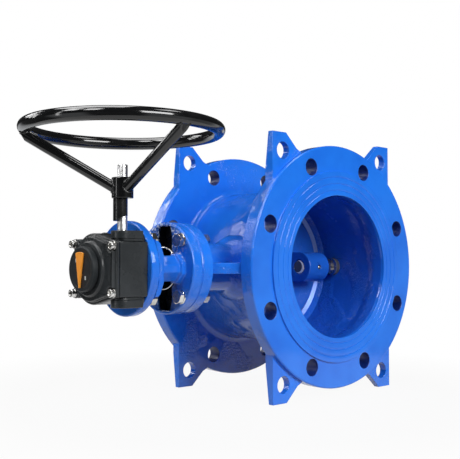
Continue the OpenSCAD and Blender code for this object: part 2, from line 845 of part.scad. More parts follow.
module indicator_cap() {
    color("#3a3d40") {
        shaft_bar(cap_in, cap_out - 1.5, cap_r);
        on_shaft(cap_out - 1.5 - eps) cylinder(h = 1.5 + eps, r1 = cap_r, r2 = cap_r - 1.5);
    }
}

module pointer() {
    color("darkorange") along_shaft(cap_out, cap_out + pointer_t)
        polygon(concat([[pointer_tip_w / 2, -pointer_tip_r]],
                       arc(0, 0, pointer_head_r, 90 - pointer_spread, 90 + pointer_spread, 6),
                       [[-pointer_tip_w / 2, -pointer_tip_r]]));
}

// ----------------------------------------------------------- handwheel

module input_shaft() {
    color("gainsboro") translate([-worm_x, worm_y, 0]) difference() {
        union() {
            translate([0, 0, input_bottom + run_gap])
                cylinder(h = input_top - input_chamfer - input_bottom - run_gap, r = input_r);
            translate([0, 0, input_top - input_chamfer - eps])
                cylinder(h = input_chamfer + eps, r1 = input_r, r2 = input_r - input_chamfer);
        }
        pin_void();
    }
}

module pin_void() {
    translate([0, 0, hub_bottom + hub_pin_h]) rotate([0, 90, 0])
        cylinder(h = hub_d + 2 * over, d = hub_pin_d + 2 * run_gap, center = true);
}

module wheel_hub() {
    color("#141415") translate([-worm_x, worm_y, 0]) difference() {
        translate([0, 0, hub_bottom]) cylinder(h = hub_h, d = hub_d);
        translate([0, 0, hub_bottom - over]) cylinder(h = hub_h + 2 * over, r = input_r + run_gap);
        pin_void();
    }
}

// Eccentric sleeve under the hub, its foot cut on the slant
module hub_sleeve() {
    color("#161718") translate([-worm_x, worm_y, hub_bottom - sleeve_len])
        rotate([0, 0, sleeve_turn]) difference() {
            translate([sleeve_shift, 0, 0]) cylinder(h = sleeve_len, r = sleeve_r);
            translate([0, 0, -over]) cylinder(h = sleeve_len + 2 * over, r = input_r + run_gap);
            rotate([90, 0, 0]) translate([0, 0, -2 * sleeve_r]) linear_extrude(4 * sleeve_r)
                polygon([[sleeve_shift + sleeve_r / 2, 0], [-sleeve_r, sleeve_cut],
                         [-2 * sleeve_r, sleeve_cut], [-2 * sleeve_r, -over],
                         [sleeve_shift + sleeve_r / 2, -over]]);
        }
}

module hub_pin() {
    color("silver") translate([-worm_x, worm_y, hub_bottom + hub_pin_h]) rotate([0, 90, 0])
        cylinder(h = hub_d - input_chamfer, d = hub_pin_d, center = true);
}

// Straight spoke from the hub up to the underside of the rim
module spoke(a) {
    rise = rim_z - spoke_head_drop - spoke_foot_z;
    run = wheel_r;
    tilt = atan2(run, rise);
    color("#121213") translate([-worm_x, worm_y, 0]) difference() {
        translate([0, 0, spoke_foot_z]) rotate([0, 0, a]) rotate([0, tilt, 0])
            cylinder(h = norm([rise, run]), r = spoke_r);
        translate([0, 0, hub_bottom - hub_h]) cylinder(h = 3 * hub_h, r = hub_d / 2 + seat_gap);
        translate([0, 0, rim_z]) rotate_extrude($fn = 144) translate([wheel_r, 0])
            circle(r = rim_r + seat_gap, $fn = 48);
        translate([0, 0, rim_z - 3 * rim_r]) difference() {
            cylinder(h = 6 * rim_r, r = wheel_r + 4 * rim_r);
            translate([0, 0, -over]) cylinder(h = 6 * rim_r + 2 * over, r = wheel_r);
        }
    }
}

module spoke_front() {
    spoke(spoke_angles[0]);
}

module spoke_left() {
    spoke(spoke_angles[1]);
}

module spoke_right() {
    spoke(spoke_angles[2]);
}

module wheel_rim() {
    color("#121213") translate([-worm_x, worm_y, rim_z]) rotate_extrude($fn = 144) translate([wheel_r, 0])
        circle(r = rim_r, $fn = 48);
}

body_casting();
seat_ring();
drive_bush();
end_bush();
end_cover();
end_cover_bolts();
gland_sleeve();
neck_gasket();
bracket();
neck_bolts();
neck_nuts();
gearbox_bolts();
gearbox_housing();
top_bearing_cap();
bottom_bearing_cap();
gearbox_cover();
cover_screws();
disc();
disc_seal();
seal_retainer();
retainer_screws();
drive_shaft();
stub_shaft();
taper_pins();
indicator_cap();
pointer();
input_shaft();
wheel_hub();
hub_sleeve();
hub_pin();
spoke_front();
spoke_left();
spoke_right();
wheel_rim();
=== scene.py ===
"""Looks of a double eccentric butterfly valve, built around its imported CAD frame.

Metres, in the shared frame: +Z up, +Y along the pipe away from the front flange, the gearbox
on the -X side. Cast pieces are rounded copies of their CAD nodes, fasteners and weld beads come
from Geometry Nodes, and turned pieces are lathed. Every finish is a procedural material.
"""

import json
import logging
import math
from dataclasses import dataclass, field
from enum import Enum
from functools import lru_cache
from typing import Callable, Iterable, Optional, Protocol, Sequence, Union

import bmesh
import bpy
from mathutils import Euler, Matrix, Vector

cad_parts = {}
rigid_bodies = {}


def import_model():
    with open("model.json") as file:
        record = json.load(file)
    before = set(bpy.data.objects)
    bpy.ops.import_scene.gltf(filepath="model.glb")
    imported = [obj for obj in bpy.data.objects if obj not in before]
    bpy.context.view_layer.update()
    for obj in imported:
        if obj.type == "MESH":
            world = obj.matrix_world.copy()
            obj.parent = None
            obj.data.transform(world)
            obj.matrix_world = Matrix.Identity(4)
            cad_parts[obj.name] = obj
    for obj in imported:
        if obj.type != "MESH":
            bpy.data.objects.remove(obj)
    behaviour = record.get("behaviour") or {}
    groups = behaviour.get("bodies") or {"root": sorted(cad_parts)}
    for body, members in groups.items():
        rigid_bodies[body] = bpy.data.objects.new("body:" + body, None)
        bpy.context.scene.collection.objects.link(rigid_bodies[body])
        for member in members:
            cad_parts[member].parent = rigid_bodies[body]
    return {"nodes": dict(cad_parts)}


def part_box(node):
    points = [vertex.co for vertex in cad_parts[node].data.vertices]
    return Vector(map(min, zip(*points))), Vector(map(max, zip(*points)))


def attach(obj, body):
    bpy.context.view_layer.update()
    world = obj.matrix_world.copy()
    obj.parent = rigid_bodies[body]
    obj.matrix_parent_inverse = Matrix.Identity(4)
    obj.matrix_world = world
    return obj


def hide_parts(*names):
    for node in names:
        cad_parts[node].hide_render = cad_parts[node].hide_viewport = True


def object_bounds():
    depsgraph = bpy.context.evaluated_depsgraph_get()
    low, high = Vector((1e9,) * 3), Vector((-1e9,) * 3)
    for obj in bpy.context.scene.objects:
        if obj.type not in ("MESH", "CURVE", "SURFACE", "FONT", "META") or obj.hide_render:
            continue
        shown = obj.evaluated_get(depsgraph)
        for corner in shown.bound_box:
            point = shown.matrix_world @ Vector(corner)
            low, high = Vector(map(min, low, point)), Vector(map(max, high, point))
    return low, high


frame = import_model()
CAD_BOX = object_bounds()
LOG = logging.getLogger("butterfly_valve")
MM = 0.001
AXIS_X, AXIS_Y, AXIS_Z = (1.0, 0.0, 0.0), (0.0, 1.0, 0.0), (0.0, 0.0, 1.0)
ORIGIN = (0.0, 0.0, 0.0)
MIX_A, MIX_B, MIX_RESULT = 6, 7, 2
EDGE_FADE = 0.3 * MM

Color = tuple[float, float, float]
Socket = bpy.types.NodeSocket
Area = tuple[Color, float, float]
Box = tuple[Vector, Vector]
Number = Union[Socket, float]
Tint = Union[Socket, Color]
Mesh = bmesh.types.BMesh
Profile = Sequence[tuple[float, float]]


class Body(Enum):
    """The CAD bodies that pieces ride on."""

    VALVE = "valve_body"
    STEM = "stem"
    WHEEL = "handwheel"


class Slot(Enum):
    """The record's material slots."""

    COATING = "blue_coating"
    SEAT = "seat_steel"
    BUSH = "bush_black"
    BOLTS = "bolt_steel"
    TURNED = "turned_steel"
    RUBBER = "seal_rubber"
    GEARBOX = "gearbox_paint"
    CAP = "cap_plastic"
    POINTER = "pointer_orange"
    BRIGHT = "bright_shaft"
    WHEEL = "wheel_paint"
    SLEEVE = "sleeve_black"


class Axis(Enum):
    """Directions that a piece built along +Z is turned to, as Euler angles."""

    PLUS_X = (0.0, math.pi / 2, 0.0)
    MINUS_X = (0.0, -math.pi / 2, 0.0)
    PLUS_Y = (-math.pi / 2, 0.0, 0.0)
    MINUS_Y = (math.pi / 2, 0.0, 0.0)

    def at(self, spot: Vector) -> Matrix:
        """The turn followed by a move to a spot, as a 4x4 matrix."""
        return Matrix.Translation(spot) @ Euler(self.value).to_matrix().to_4x4()


# ---------------------------------------------------------------- materials


class Nodes:
    """A node tree with short helpers for building it."""

    def __init__(self, tree: bpy.types.NodeTree) -> None:
        """Starts from an emptied tree."""
        self.tree = tree
        tree.nodes.clear()

    def node(self, kind: str, inputs: Optional[dict] = None, **settings: object) -> bpy.types.Node:
        """Adds a node.

        Args:
            kind: The node's type name.
            inputs: What its inputs are fed, by name or number.
            **settings: Properties to set on the node.

        Returns:
            The new node.
        """
        made = self.tree.nodes.new(kind)
        for key, value in settings.items():
            setattr(made, key, value)
        for key, value in (inputs or {}).items():
            self.feed(made.inputs[key], value)
        return made

    def feed(self, socket: Socket, value: object) -> None:
        """Links a socket to another, or sets its plain value.

        Args:
            socket: The input to feed.
            value: An output to link, or the value to set.
        """
        if isinstance(value, bpy.types.NodeSocket):
            self.tree.links.new(value, socket)
        else:
            socket.default_value = value

    def calc(self, operation: str, first: Number, second: Number = 0.0) -> Socket:
        """A Math node's result."""
        return self.node("ShaderNodeMath", {0: first, 1: second},
                         operation=operation).outputs["Value"]

    def times(self, first: Number, *others: Number) -> Number:
        """The product of all the values.

        Args:
            first: The first factor.
            *others: The factors that it is multiplied by in turn.

        Returns:
            The product.
        """
        for other in others:
            first = self.calc("MULTIPLY", first, other)
        return first

    def span(self, value: Socket, low: float, high: float,
             start: float = 0.0, end: float = 1.0) -> Socket:
        """Maps value from low..high to start..end, held at both ends."""
        return self.node("ShaderNodeMapRange", {"Value": value, "From Min": low, "From Max": high,
                                                "To Min": start, "To Max": end}).outputs["Result"]

    def vector(self, operation: str, first: Socket, second: Color, result: str = "Vector") -> Socket:
        """A Vector Math node's result."""
        return self.node("ShaderNodeVectorMath", {0: first, 1: second},
                         operation=operation).outputs[result]

    def measure(self, operation: str, first: Socket, second: Color = ORIGIN) -> Socket:
        """A Vector Math node's number, such as a dot product or a distance."""
        return self.vector(operation, first, second, "Value")


class Graph(Nodes):
    """A material's node tree, with procedural patterns on object coordinates."""

    def __init__(self, name: str) -> None:
        """Starts the named material with a Principled shader.

        Args:
            name: The material's name.
        """
        self.material = bpy.data.materials.new(name)
        self.material.use_nodes = True
        super().__init__(self.material.node_tree)
        self.shader = self.node("ShaderNodeBsdfPrincipled")
        self.out = self.node("ShaderNodeOutputMaterial", {"Surface": self.shader.outputs["BSDF"]})
        self.place: Socket = self.node("ShaderNodeTexCoord").outputs["Object"]

    def noise(self, scale: float, detail: float = 3.0, rough: float = 0.5,
              stretch: Color = (1.0, 1.0, 1.0)) -> Socket:
        """Noise on object coordinates.

        Args:
            scale: Features for each metre.
            detail: Octaves.
            rough: Strength of each finer octave.
            stretch: Scale along each axis before the noise.

        Returns:
            The noise's factor.
        """
        at = self.node("ShaderNodeMapping", {"Vector": self.place, "Scale": stretch}).outputs["Vector"]
        return self.node("ShaderNodeTexNoise", {"Vector": at, "Scale": scale, "Detail": detail,
                                                "Roughness": rough}).outputs["Fac"]

    def rings(self, density: float) -> Socket:
        """Turning marks about the pipe axis: noise that depends on the radius alone.

        Args:
            density: Marks for each metre.

        Returns:
            The marks' factor.
        """
        radius = self.measure("LENGTH", self.vector("MULTIPLY", self.place, ROUND_PIPE))
        return self.node("ShaderNodeTexNoise", {"W": radius, "Scale": density, "Detail": 2.0},
                         noise_dimensions="1D").outputs["Fac"]

    def blend(self, factor: Number, *colors: Tint) -> Socket:
        """Mixes two colours.

        Args:
            factor: 0 for the first colour, 1 for the second.
            *colors: The two colours.

        Returns:
            The mixed colour.
        """
        first, second = ((*c, 1.0) if isinstance(c, tuple) else c for c in colors)
        return self.node("ShaderNodeMix", {"Factor": factor, MIX_A: first, MIX_B: second},
                         data_type="RGBA").outputs[MIX_RESULT]

    def slab(self, axis: Color, level: float, depth: float) -> Socket:
        """1 within depth of the plane at level along axis, fading to 0 over as much again."""
        off = self.calc("SUBTRACT", self.measure("DOT_PRODUCT", self.place, axis), level)
        return self.span(self.calc("ABSOLUTE", off), depth, 2.0 * depth, 1.0, 0.0)

    def inside(self, centre: Color, across: Color, radius: float) -> Socket:
        """1 within a radius of the line through centre along the axis that across drops."""
        away = self.vector("MULTIPLY", self.vector("SUBTRACT", self.place, centre), across)
        return self.span(self.measure("LENGTH", away), radius, radius + EDGE_FADE, 1.0, 0.0)

    def holes(self, pitch: float, count: int, radius: float) -> Socket:
        """1 inside holes spaced evenly about the pipe axis, the first half a space above its level.

        Args:
            pitch: Radius of the circle the holes stand on.
            count: Number of holes.
            radius: Radius of a hole.

        Returns:
            The mask.
        """
        along, up = (self.measure("DOT_PRODUCT", self.place, axis) for axis in (AXIS_X, AXIS_Z))
        half = math.pi / count
        off = self.calc("SUBTRACT", half, self.calc("PINGPONG", self.calc("ARCTAN2", up, along), half))
        square = self.calc("ADD", self.times(along, along), self.times(up, up))
        chord = self.times(self.calc("SQRT", square), self.calc("COSINE", off), 2 * pitch)
        away = self.calc("SQRT", self.calc("ADD", self.calc("SUBTRACT", square, chord), pitch ** 2))
        return self.span(away, radius, radius + 0.4 * MM, 1.0, 0.0)

    def bump(self, height: Socket, depth: float, under: Optional[Socket] = None) -> Socket:
        """A bumped normal.

        Args:
            height: The pattern, 0 to 1.
            depth: Real depth of the pattern in metres.
            under: A normal to add to.

        Returns:
            The normal.
        """
        made = self.node("ShaderNodeBump", {"Height": height, "Distance": depth, "Strength": 1.0})
        if under is not None:
            self.feed(made.inputs["Normal"], under)
        return made.outputs["Normal"]

    def surface(self, color: Tint, roughness: Number, normal: Optional[Socket] = None,
                **plain: float) -> bpy.types.Material:
        """Sets the shader and returns the finished material.

        Args:
            color: Base colour.
            roughness: Roughness.
            normal: Bumped normal.
            **plain: Sockets that are the same all over, as words with _ for spaces.

        Returns:
            The material.
        """
        inputs = self.shader.inputs
        plain_color = isinstance(color, tuple)
        self.feed(inputs["Base Color"], (*color, 1.0) if plain_color else color)
        self.feed(inputs["Roughness"], roughness)
        if normal is not None:
            self.feed(inputs["Normal"], normal)
        for name, value in plain.items():
            inputs[name.replace("_", " ").title().replace("Ior", "IOR")].default_value = value
        return self.material


SHAFT_Y = (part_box("bracket")[0].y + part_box("bracket")[1].y) / 2
SHAFT_Z = (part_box("bracket")[0].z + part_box("bracket")[1].z) / 2
SHAFT_LINE = (0.0, SHAFT_Y, SHAFT_Z)
ROUND_SHAFT, ROUND_PIPE = (0.0, 1.0, 1.0), (1.0, 0.0, 1.0)
# Painted shade: near black on the bracket windows' walls and the neck face behind them, within this
# radius of the shaft.
WINDOW_SHADE_R = 56.5 * MM
WINDOW_SHADE_BLACK, HOLLOW_SHADE_BLACK = (0.004, 0.005, 0.009), (0.010, 0.010, 0.011)
DULL_DARK_GREY = (0.085, 0.085, 0.09)
# Painted shade: a darker blue inside the bore and navy on the bolt hole walls.
BORE_SHADE_BLUE, HOLE_SHADE_NAVY = (0.011, 0.108, 0.60), (0.005, 0.026, 0.20)
# Painted highlights: pale glints on the crust and a pale crescent on the stub shaft's end.
GLINT_PALE, CRESCENT_HIGHLIGHT_PALE = (0.50, 0.60, 0.80), (0.85, 0.85, 0.83)


class Finish(Protocol):
    """A finish: the record slot that it stands for, and its material."""

    slot: Slot

    def material(self) -> bpy.types.Material:
        """Builds the material."""


@dataclass(frozen=True)
class EpoxyCoat:
    """Thick glossy fusion-bonded epoxy over cast iron: smooth where the iron was machined.

    faces are machined planes, smooth as far in as machined, and bore and holes are machined round
    the pipe axis. The bore is painted shade, a darker blue, and the hole walls are painted shade, navy.
    Where all the window shade slabs meet near the shaft, the coat is painted shade, near black.
    Where all the crust slabs meet, it is lumpy, with painted glints as pale specks. Patches of grit
    lie where noise passes spread. gloss is the range of roughness, and walls and bore are duller.
    """

    name: str = "epoxy_coating"
    slot: Slot = Slot.COATING
    color: Color = (0.016, 0.190, 0.82)
    deep: Color = (0.012, 0.150, 0.72)
    faces: tuple[tuple[Color, float], ...] = ()
    window_shade: tuple[Area, ...] = ()
    crust_and_glint: tuple[Area, ...] = ()
    bore: float = 0.0
    holes: tuple[float, int, float] = (0.0, 0, 0.0)
    spread: tuple[float, float] = (0.48, 0.58)
    machined: float = 2.8 * MM
    wall_depth: float = 22 * MM
    lump_depth: float = 2.2 * MM
    run_depth: float = 1.1 * MM
    wave_depth: float = 0.26 * MM
    grit_depth: float = 1.2 * MM
    peel_depth: float = 0.04 * MM
    gloss: tuple[float, float] = (0.07, 0.16)
    bore_dulling: float = 0.14
    wall_dulling: float = 0.30

    def material(self) -> bpy.types.Material:
        """Builds the coating with orange peel, cast waves and gritty patches.

        Returns:
            The material.
        """
        g = Graph(self.name)
        color = g.blend(g.span(g.noise(14.0), 0.38, 0.66), self.color, self.deep)
        # Painted shade: near black on the bracket windows' walls and on the neck face behind them.
        window_shade_mask = g.inside(SHAFT_LINE, ROUND_SHAFT, WINDOW_SHADE_R) if self.window_shade else 0.0
        color = g.blend(g.times(window_shade_mask, *(g.slab(*area) for area in self.window_shade)), color, WINDOW_SHADE_BLACK)
        cast = g.times(1.0, *(g.calc("SUBTRACT", 1.0, g.slab(*face, self.machined))
                              for face in self.faces))
        bore_wall_and_shade: Number = 0.0
        # Painted shade: the bore's cast wall is a darker blue. The same mask adds runs and dulls it.
        if self.bore:
            bore_wall_and_shade = g.times(cast, g.inside(ORIGIN, ROUND_PIPE, self.bore))
            color = g.blend(bore_wall_and_shade, color, BORE_SHADE_BLUE)
        hole_wall_and_shade: Number = 0.0
        # Painted shade: the bolt hole walls are navy, and duller.
        if self.holes[1]:
            for face in self.faces:
                hole_wall_and_shade = g.calc("MAXIMUM", hole_wall_and_shade, g.slab(*face, self.wall_depth))
            hole_wall_and_shade = g.times(hole_wall_and_shade, g.holes(*self.holes))
            color = g.blend(hole_wall_and_shade, color, HOLE_SHADE_NAVY)
        patch = g.times(cast, g.span(g.noise(23.0, 2.0), *self.spread))
        crust_and_glint_mask = g.times(1.0, *(g.slab(*area) for area in self.crust_and_glint)) if self.crust_and_glint else 0.0
        waves = g.times(cast, g.noise(75.0))
        grit = g.times(patch, g.noise(330.0, 3.0, 0.6))
        runs = g.times(bore_wall_and_shade, g.noise(60.0, 3.0, 0.5, (1.0, 1.0, 0.14)))
        lumps = g.noise(260.0, 2.0, 0.6)
        # Painted glints: pale specks on the crust's high lumps, which are also bumped.
        color = g.blend(g.times(crust_and_glint_mask, g.span(lumps, 0.53, 0.60)), color, GLINT_PALE)
        normal = g.bump(g.times(crust_and_glint_mask, lumps), self.lump_depth, g.bump(runs, self.run_depth))
        normal = g.bump(grit, self.grit_depth, g.bump(waves, self.wave_depth, normal))
        normal = g.bump(g.noise(300.0, 2.0), self.peel_depth, normal)
        rough = g.calc("ADD", g.span(g.noise(30.0, 4.0), 0.35, 0.7, *self.gloss),
                       g.times(bore_wall_and_shade, self.bore_dulling))
        rough = g.calc("ADD", rough, g.times(hole_wall_and_shade, self.wall_dulling))
        return g.surface(color, rough, normal, specular_ior_level=0.5)


@dataclass(frozen=True)
class GearboxPaint:
    """Satin black-grey paint on a sand casting."""

    slot: Slot = Slot.GEARBOX
    color: Color = (0.017, 0.020, 0.022)
    dusty: Color = (0.027, 0.031, 0.034)
    roughness: tuple[float, float] = (0.24, 0.36)
    grain_depth: float = 0.06 * MM
    dent_depth: float = 0.3 * MM

    def material(self) -> bpy.types.Material:
        """Builds the paint with sand grain, soft dents and dusty patches.

        Returns:
            The material.
        """
        g = Graph("gearbox_satin_paint")
        dust = g.span(g.noise(24.0, 4.0, 0.6), 0.4, 0.7)
        color = g.blend(dust, self.color, self.dusty)
        dents = g.bump(g.noise(110.0), self.dent_depth)
        normal = g.bump(g.noise(1100.0, 2.0, 0.6), self.grain_depth, dents)
        return g.surface(color, g.span(dust, 0.0, 1.0, *self.roughness), normal,
                         specular_ior_level=0.42)


@dataclass(frozen=True)
class PowderCoat:
    """High-gloss black powder coat on steel tube."""

    slot: Slot = Slot.WHEEL
    color: Color = (0.0042, 0.0044, 0.0048)
    worn: Color = (0.008, 0.008, 0.009)
    roughness: tuple[float, float] = (0.10, 0.16)
    peel_depth: float = 0.03 * MM

    def material(self) -> bpy.types.Material:
        """Builds the coat with faint orange peel and handling marks.

        Returns:
            The material.
        """
        g = Graph("wheel_powder_coat")
        marks = g.span(g.noise(38.0, 5.0, 0.62), 0.5, 0.72)
        color = g.blend(marks, self.color, self.worn)
        return g.surface(color, g.span(marks, 0.0, 1.0, *self.roughness),
                         g.bump(g.noise(120.0, 2.0), self.peel_depth), specular_ior_level=0.6)


@dataclass(frozen=True)
class BareMetal:
    """A bare metal finish with fine marks along or across an axis.

    streaks is how much the marks change the roughness. hollow is the radius of a near-black
    painted shade round the shaft. In each slab of the dull places the metal is dull, dark grey
    within spot's radius of its centre and a pale painted highlight outside it.
    """

    name: str
    slot: Slot
    color: Color
    shade: Color
    roughness: tuple[float, float]
    grain: Color = (1.0, 1.0, 1.0)
    grain_scale: float = 500.0
    depth: float = 0.02 * MM
    hollow: float = 0.0
    dull_slabs: tuple[Area, ...] = ()
    spot: tuple[Color, float] = (ORIGIN, 1.0)
    streaks: float = 0.04

    def material(self) -> bpy.types.Material:
        """Builds the metal with stretched grain, cloudy marks, painted shade in the hollow and dull
        places.

        Returns:
            The material.
        """
        g = Graph(self.name)
        clouds = g.span(g.noise(60.0, 4.0, 0.6), 0.36, 0.68)
        grain = g.noise(self.grain_scale, 3.0, 0.6, self.grain)
        color = g.blend(clouds, self.color, self.shade)
        streaks = (-self.streaks, self.streaks)
        rough = g.calc("ADD", g.span(clouds, 0.0, 1.0, *self.roughness),
                       g.span(grain, 0.3, 0.7, *streaks))
        normal = g.bump(grain, self.depth)
        # Painted shade: near black inside the hollow round the shaft.
        if self.hollow:
            color = g.blend(g.inside(SHAFT_LINE, ROUND_SHAFT, self.hollow), color, HOLLOW_SHADE_BLACK)
        if not self.dull_slabs:
            return g.surface(color, rough, normal, metallic=1.0)
        dull: Number = 0.0
        for area in self.dull_slabs:
            dull = g.calc("MAXIMUM", dull, g.slab(*area))
        # Painted highlight: pale outside spot's radius, a crescent on the end face. Inside it the metal
        # is dull dark grey.
        spot = g.inside(self.spot[0], ROUND_SHAFT, self.spot[1])
        g.feed(g.shader.inputs["Metallic"], g.calc("SUBTRACT", 1.0, dull))
        return g.surface(g.blend(dull, color, g.blend(spot, CRESCENT_HIGHLIGHT_PALE, DULL_DARK_GREY)), rough, normal)


@dataclass(frozen=True)
class SeatSteel:
    """Stainless steel turned about the pipe axis."""

    slot: Slot = Slot.SEAT
    color: Color = (0.13, 0.20, 0.48)
    shade: Color = (0.09, 0.14, 0.37)
    roughness: tuple[float, float] = (0.40, 0.55)
    depth: float = 0.04 * MM

    def material(self) -> bpy.types.Material:
        """Builds the steel with fine turning rings.

        Returns:
            The material.
        """
        g = Graph("seat_turned_stainless")
        rings = g.rings(2600.0)
        color = g.blend(g.span(rings, 0.35, 0.65), self.color, self.shade)
        return g.surface(color, g.span(rings, 0.3, 0.7, *self.roughness), g.bump(rings, self.depth),
                         metallic=1.0)


@dataclass(frozen=True)
class Moulded:
    """A moulded plastic or rubber with fine skin texture."""

    name: str
    slot: Slot
    color: Color
    mottle: Color
    roughness: tuple[float, float]
    grain_scale: float = 900.0
    depth: float = 0.03 * MM
    shine: float = 0.45

    def material(self) -> bpy.types.Material:
        """Builds the moulding with grain and a faint change of tone.

        Returns:
            The material.
        """
        g = Graph(self.name)
        tone = g.span(g.noise(45.0), 0.35, 0.7)
        color = g.blend(tone, self.color, self.mottle)
        rough = g.span(tone, 0.0, 1.0, *self.roughness)
        return g.surface(color, rough, g.bump(g.noise(self.grain_scale, 2.0, 0.6), self.depth),
                         specular_ior_level=self.shine)


BRACKET_LEFT, BRACKET_RIGHT = (corner.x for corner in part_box("bracket"))
PITCH_R, HOLE_R, HOLE_COUNT, BORE_R = 147.5 * MM, 11.7 * MM, 8, 107.5 * MM
STEEL, STEEL_SHADE, DRAWN_X = (0.70, 0.70, 0.70), (0.56, 0.55, 0.53), (1.0, 0.02, 0.02)
# Painted shade: the neck face seen through the bracket windows is near black.
EPOXY = EpoxyCoat(faces=tuple((AXIS_Y, corner.y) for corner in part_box("body_casting")),
                  window_shade=((AXIS_X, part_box("body_casting")[0].x, 1.0 * MM),),
                  bore=BORE_R, holes=(PITCH_R, HOLE_COUNT, HOLE_R))
# Painted shade: the bracket windows' walls are near black. Painted glints: pale specks round the upper
# window.
ROUGH_EPOXY = EpoxyCoat("epoxy_coating_rough_cast", faces=((AXIS_X, BRACKET_LEFT),),
                        window_shade=((AXIS_X, BRACKET_RIGHT, 11.5 * MM), (AXIS_Y, SHAFT_Y, 15.8 * MM)),
                        crust_and_glint=((AXIS_X, BRACKET_RIGHT - 16 * MM, 2.4 * MM), (AXIS_Y, SHAFT_Y, 24 * MM),
                               (AXIS_Z, SHAFT_Z + 40 * MM, 24 * MM)),
                        spread=(0.42, 0.52))
# Painted shade: the disc in the bore gets a darker copy of the coating's blue.
DISC_SHADE_EPOXY = EpoxyCoat("epoxy_coating_disc_shaded", color=(0.012, 0.105, 0.53), deep=(0.010, 0.090, 0.46))
SATIN, POWDER, SEAT = GearboxPaint(), PowderCoat(), SeatSteel()
FASTENER = BareMetal("fastener_stainless", Slot.BOLTS, (0.70, 0.70, 0.69), (0.46, 0.45, 0.42),
                     (0.14, 0.28), grain_scale=900.0)
TURNED_X = BareMetal("shaft_turned_steel", Slot.TURNED, STEEL, STEEL_SHADE, (0.10, 0.20), DRAWN_X,
                     2400.0)
GLAND = BareMetal("gland_sleeve_steel", Slot.TURNED, STEEL, STEEL_SHADE, (0.10, 0.20), DRAWN_X, 2400.0,
                  hollow=26.4 * MM)
# Painted highlight: the stub's end faces are dull dark grey with a pale crescent off centre.
STUB = BareMetal("shaft_stub_steel", Slot.TURNED, STEEL, STEEL_SHADE, (0.16, 0.28), DRAWN_X, 2400.0,
                 dull_slabs=tuple((AXIS_X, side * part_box("stub_shaft")[0].x, 0.3 * MM)
                             for side in (1.0, -1.0)),
                 spot=((0.0, SHAFT_Y + 2.4 * MM, SHAFT_Z + 0.6 * MM), 8.6 * MM))
BUSH_STEEL = BareMetal("bush_steel", Slot.BUSH, (0.62, 0.62, 0.62), (0.50, 0.49, 0.48), (0.12, 0.24),
                       (1.0, 0.05, 0.05), 1800.0,
                       dull_slabs=((AXIS_X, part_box("end_bush")[0].x + 10.5 * MM, 2.2 * MM),))
BRIGHT = BareMetal("input_shaft_bright", Slot.BRIGHT, (0.72, 0.72, 0.72), (0.66, 0.66, 0.67),
                   (0.32, 0.38), (0.02, 0.02, 1.0), 300.0, 0.002 * MM)
RUBBER = Moulded("seal_black_rubber", Slot.RUBBER, (0.012, 0.012, 0.013), (0.02, 0.02, 0.021),
                 (0.5, 0.62))
BUSH = Moulded("bush_polymer", Slot.BUSH, (0.010, 0.010, 0.012), (0.018, 0.018, 0.020), (0.22, 0.32))
CAP = Moulded("indicator_cap_plastic", Slot.CAP, (0.014, 0.017, 0.019), (0.019, 0.022, 0.024),
              (0.44, 0.54), shine=0.18)
ORANGE = Moulded("pointer_orange_plastic", Slot.POINTER, (1.0, 0.385, 0.043), (0.93, 0.33, 0.034),
                 (0.34, 0.42), 700.0, 0.02 * MM)
PALE = Moulded("indicator_mark_paint", Slot.CAP, (0.62, 0.64, 0.62), (0.50, 0.52, 0.51), (0.42, 0.52))
SLEEVE = Moulded("sleeve_black_gloss", Slot.SLEEVE, (0.006, 0.007, 0.007), (0.012, 0.012, 0.012),
                 (0.08, 0.18), 260.0, 0.12 * MM)


@lru_cache(maxsize=None)
def paint_of(finish: Finish) -> bpy.types.Material:
    """The one shared material of a finish."""
    return finish.material()


# ------------------------------------------------------------------- meshes

SLIVER = 1e-6
NO_RADIUS = 1e-9
FLAT_DEGREES = 0.4


def place(obj: bpy.types.Object, body: Body, nodes: Iterable[str] = ()) -> None:
    """Gives a finished piece its body and hides the CAD nodes that it stands for.

    Args:
        obj: The piece, its place in its mesh.
        body: The body it rides on.
        nodes: CAD nodes that it replaces.
    """
    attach(obj, body.value)
    nodes = list(nodes)
    if nodes:
        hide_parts(*nodes)
    LOG.info("%s: %d faces, rides on %s, stands for %s", obj.name, len(obj.data.polygons), body.value,
             ", ".join(nodes) or "nothing")


def dress(node: str, finish: Finish) -> None:
    """Gives a CAD node that stays its finish.

    Args:
        node: The CAD node's name.
        finish: The finish to assign.
    """
    mesh = frame["nodes"][node].data
    mesh.materials.clear()
    mesh.materials.append(paint_of(finish))
    LOG.info("%s: CAD shape kept, dressed in %s", node, mesh.materials[0].name)


def as_object(name: str, data: object, finish: Optional[Finish] = None) -> bpy.types.Object:
    """Links a mesh, light or camera as an object at the origin.

    Args:
        name: The object's name.
        data: The mesh, light or camera.
        finish: The finish of a mesh.

    Returns:
        The object.
    """
    obj = bpy.data.objects.new(name, data)
    bpy.context.scene.collection.objects.link(obj)
    if finish is not None:
        data.materials.clear()
        data.materials.append(paint_of(finish))
    return obj


def store(bm: Mesh, name: str, matrix: Matrix = Matrix.Identity(4),
          degrees: float = 34.0) -> bpy.types.Mesh:
    """Moves a mesh to its place and stores it.

    Args:
        bm: The shape, freed here.
        name: The stored mesh's name.
        matrix: The move to its place.
        degrees: Sharpest edge that is still shaded smooth.

    Returns:
        The stored mesh.
    """
    bm.transform(matrix)
    mesh = bpy.data.meshes.new(name)
    bm.to_mesh(mesh)
    bm.free()
    smooth(mesh, degrees)
    return mesh


def smooth(mesh: bpy.types.Mesh, degrees: float) -> None:
    """Shades a mesh smooth apart from edges sharper than the angle."""
    mesh.shade_smooth()
    mesh.set_sharp_from_angle(angle=math.radians(degrees))


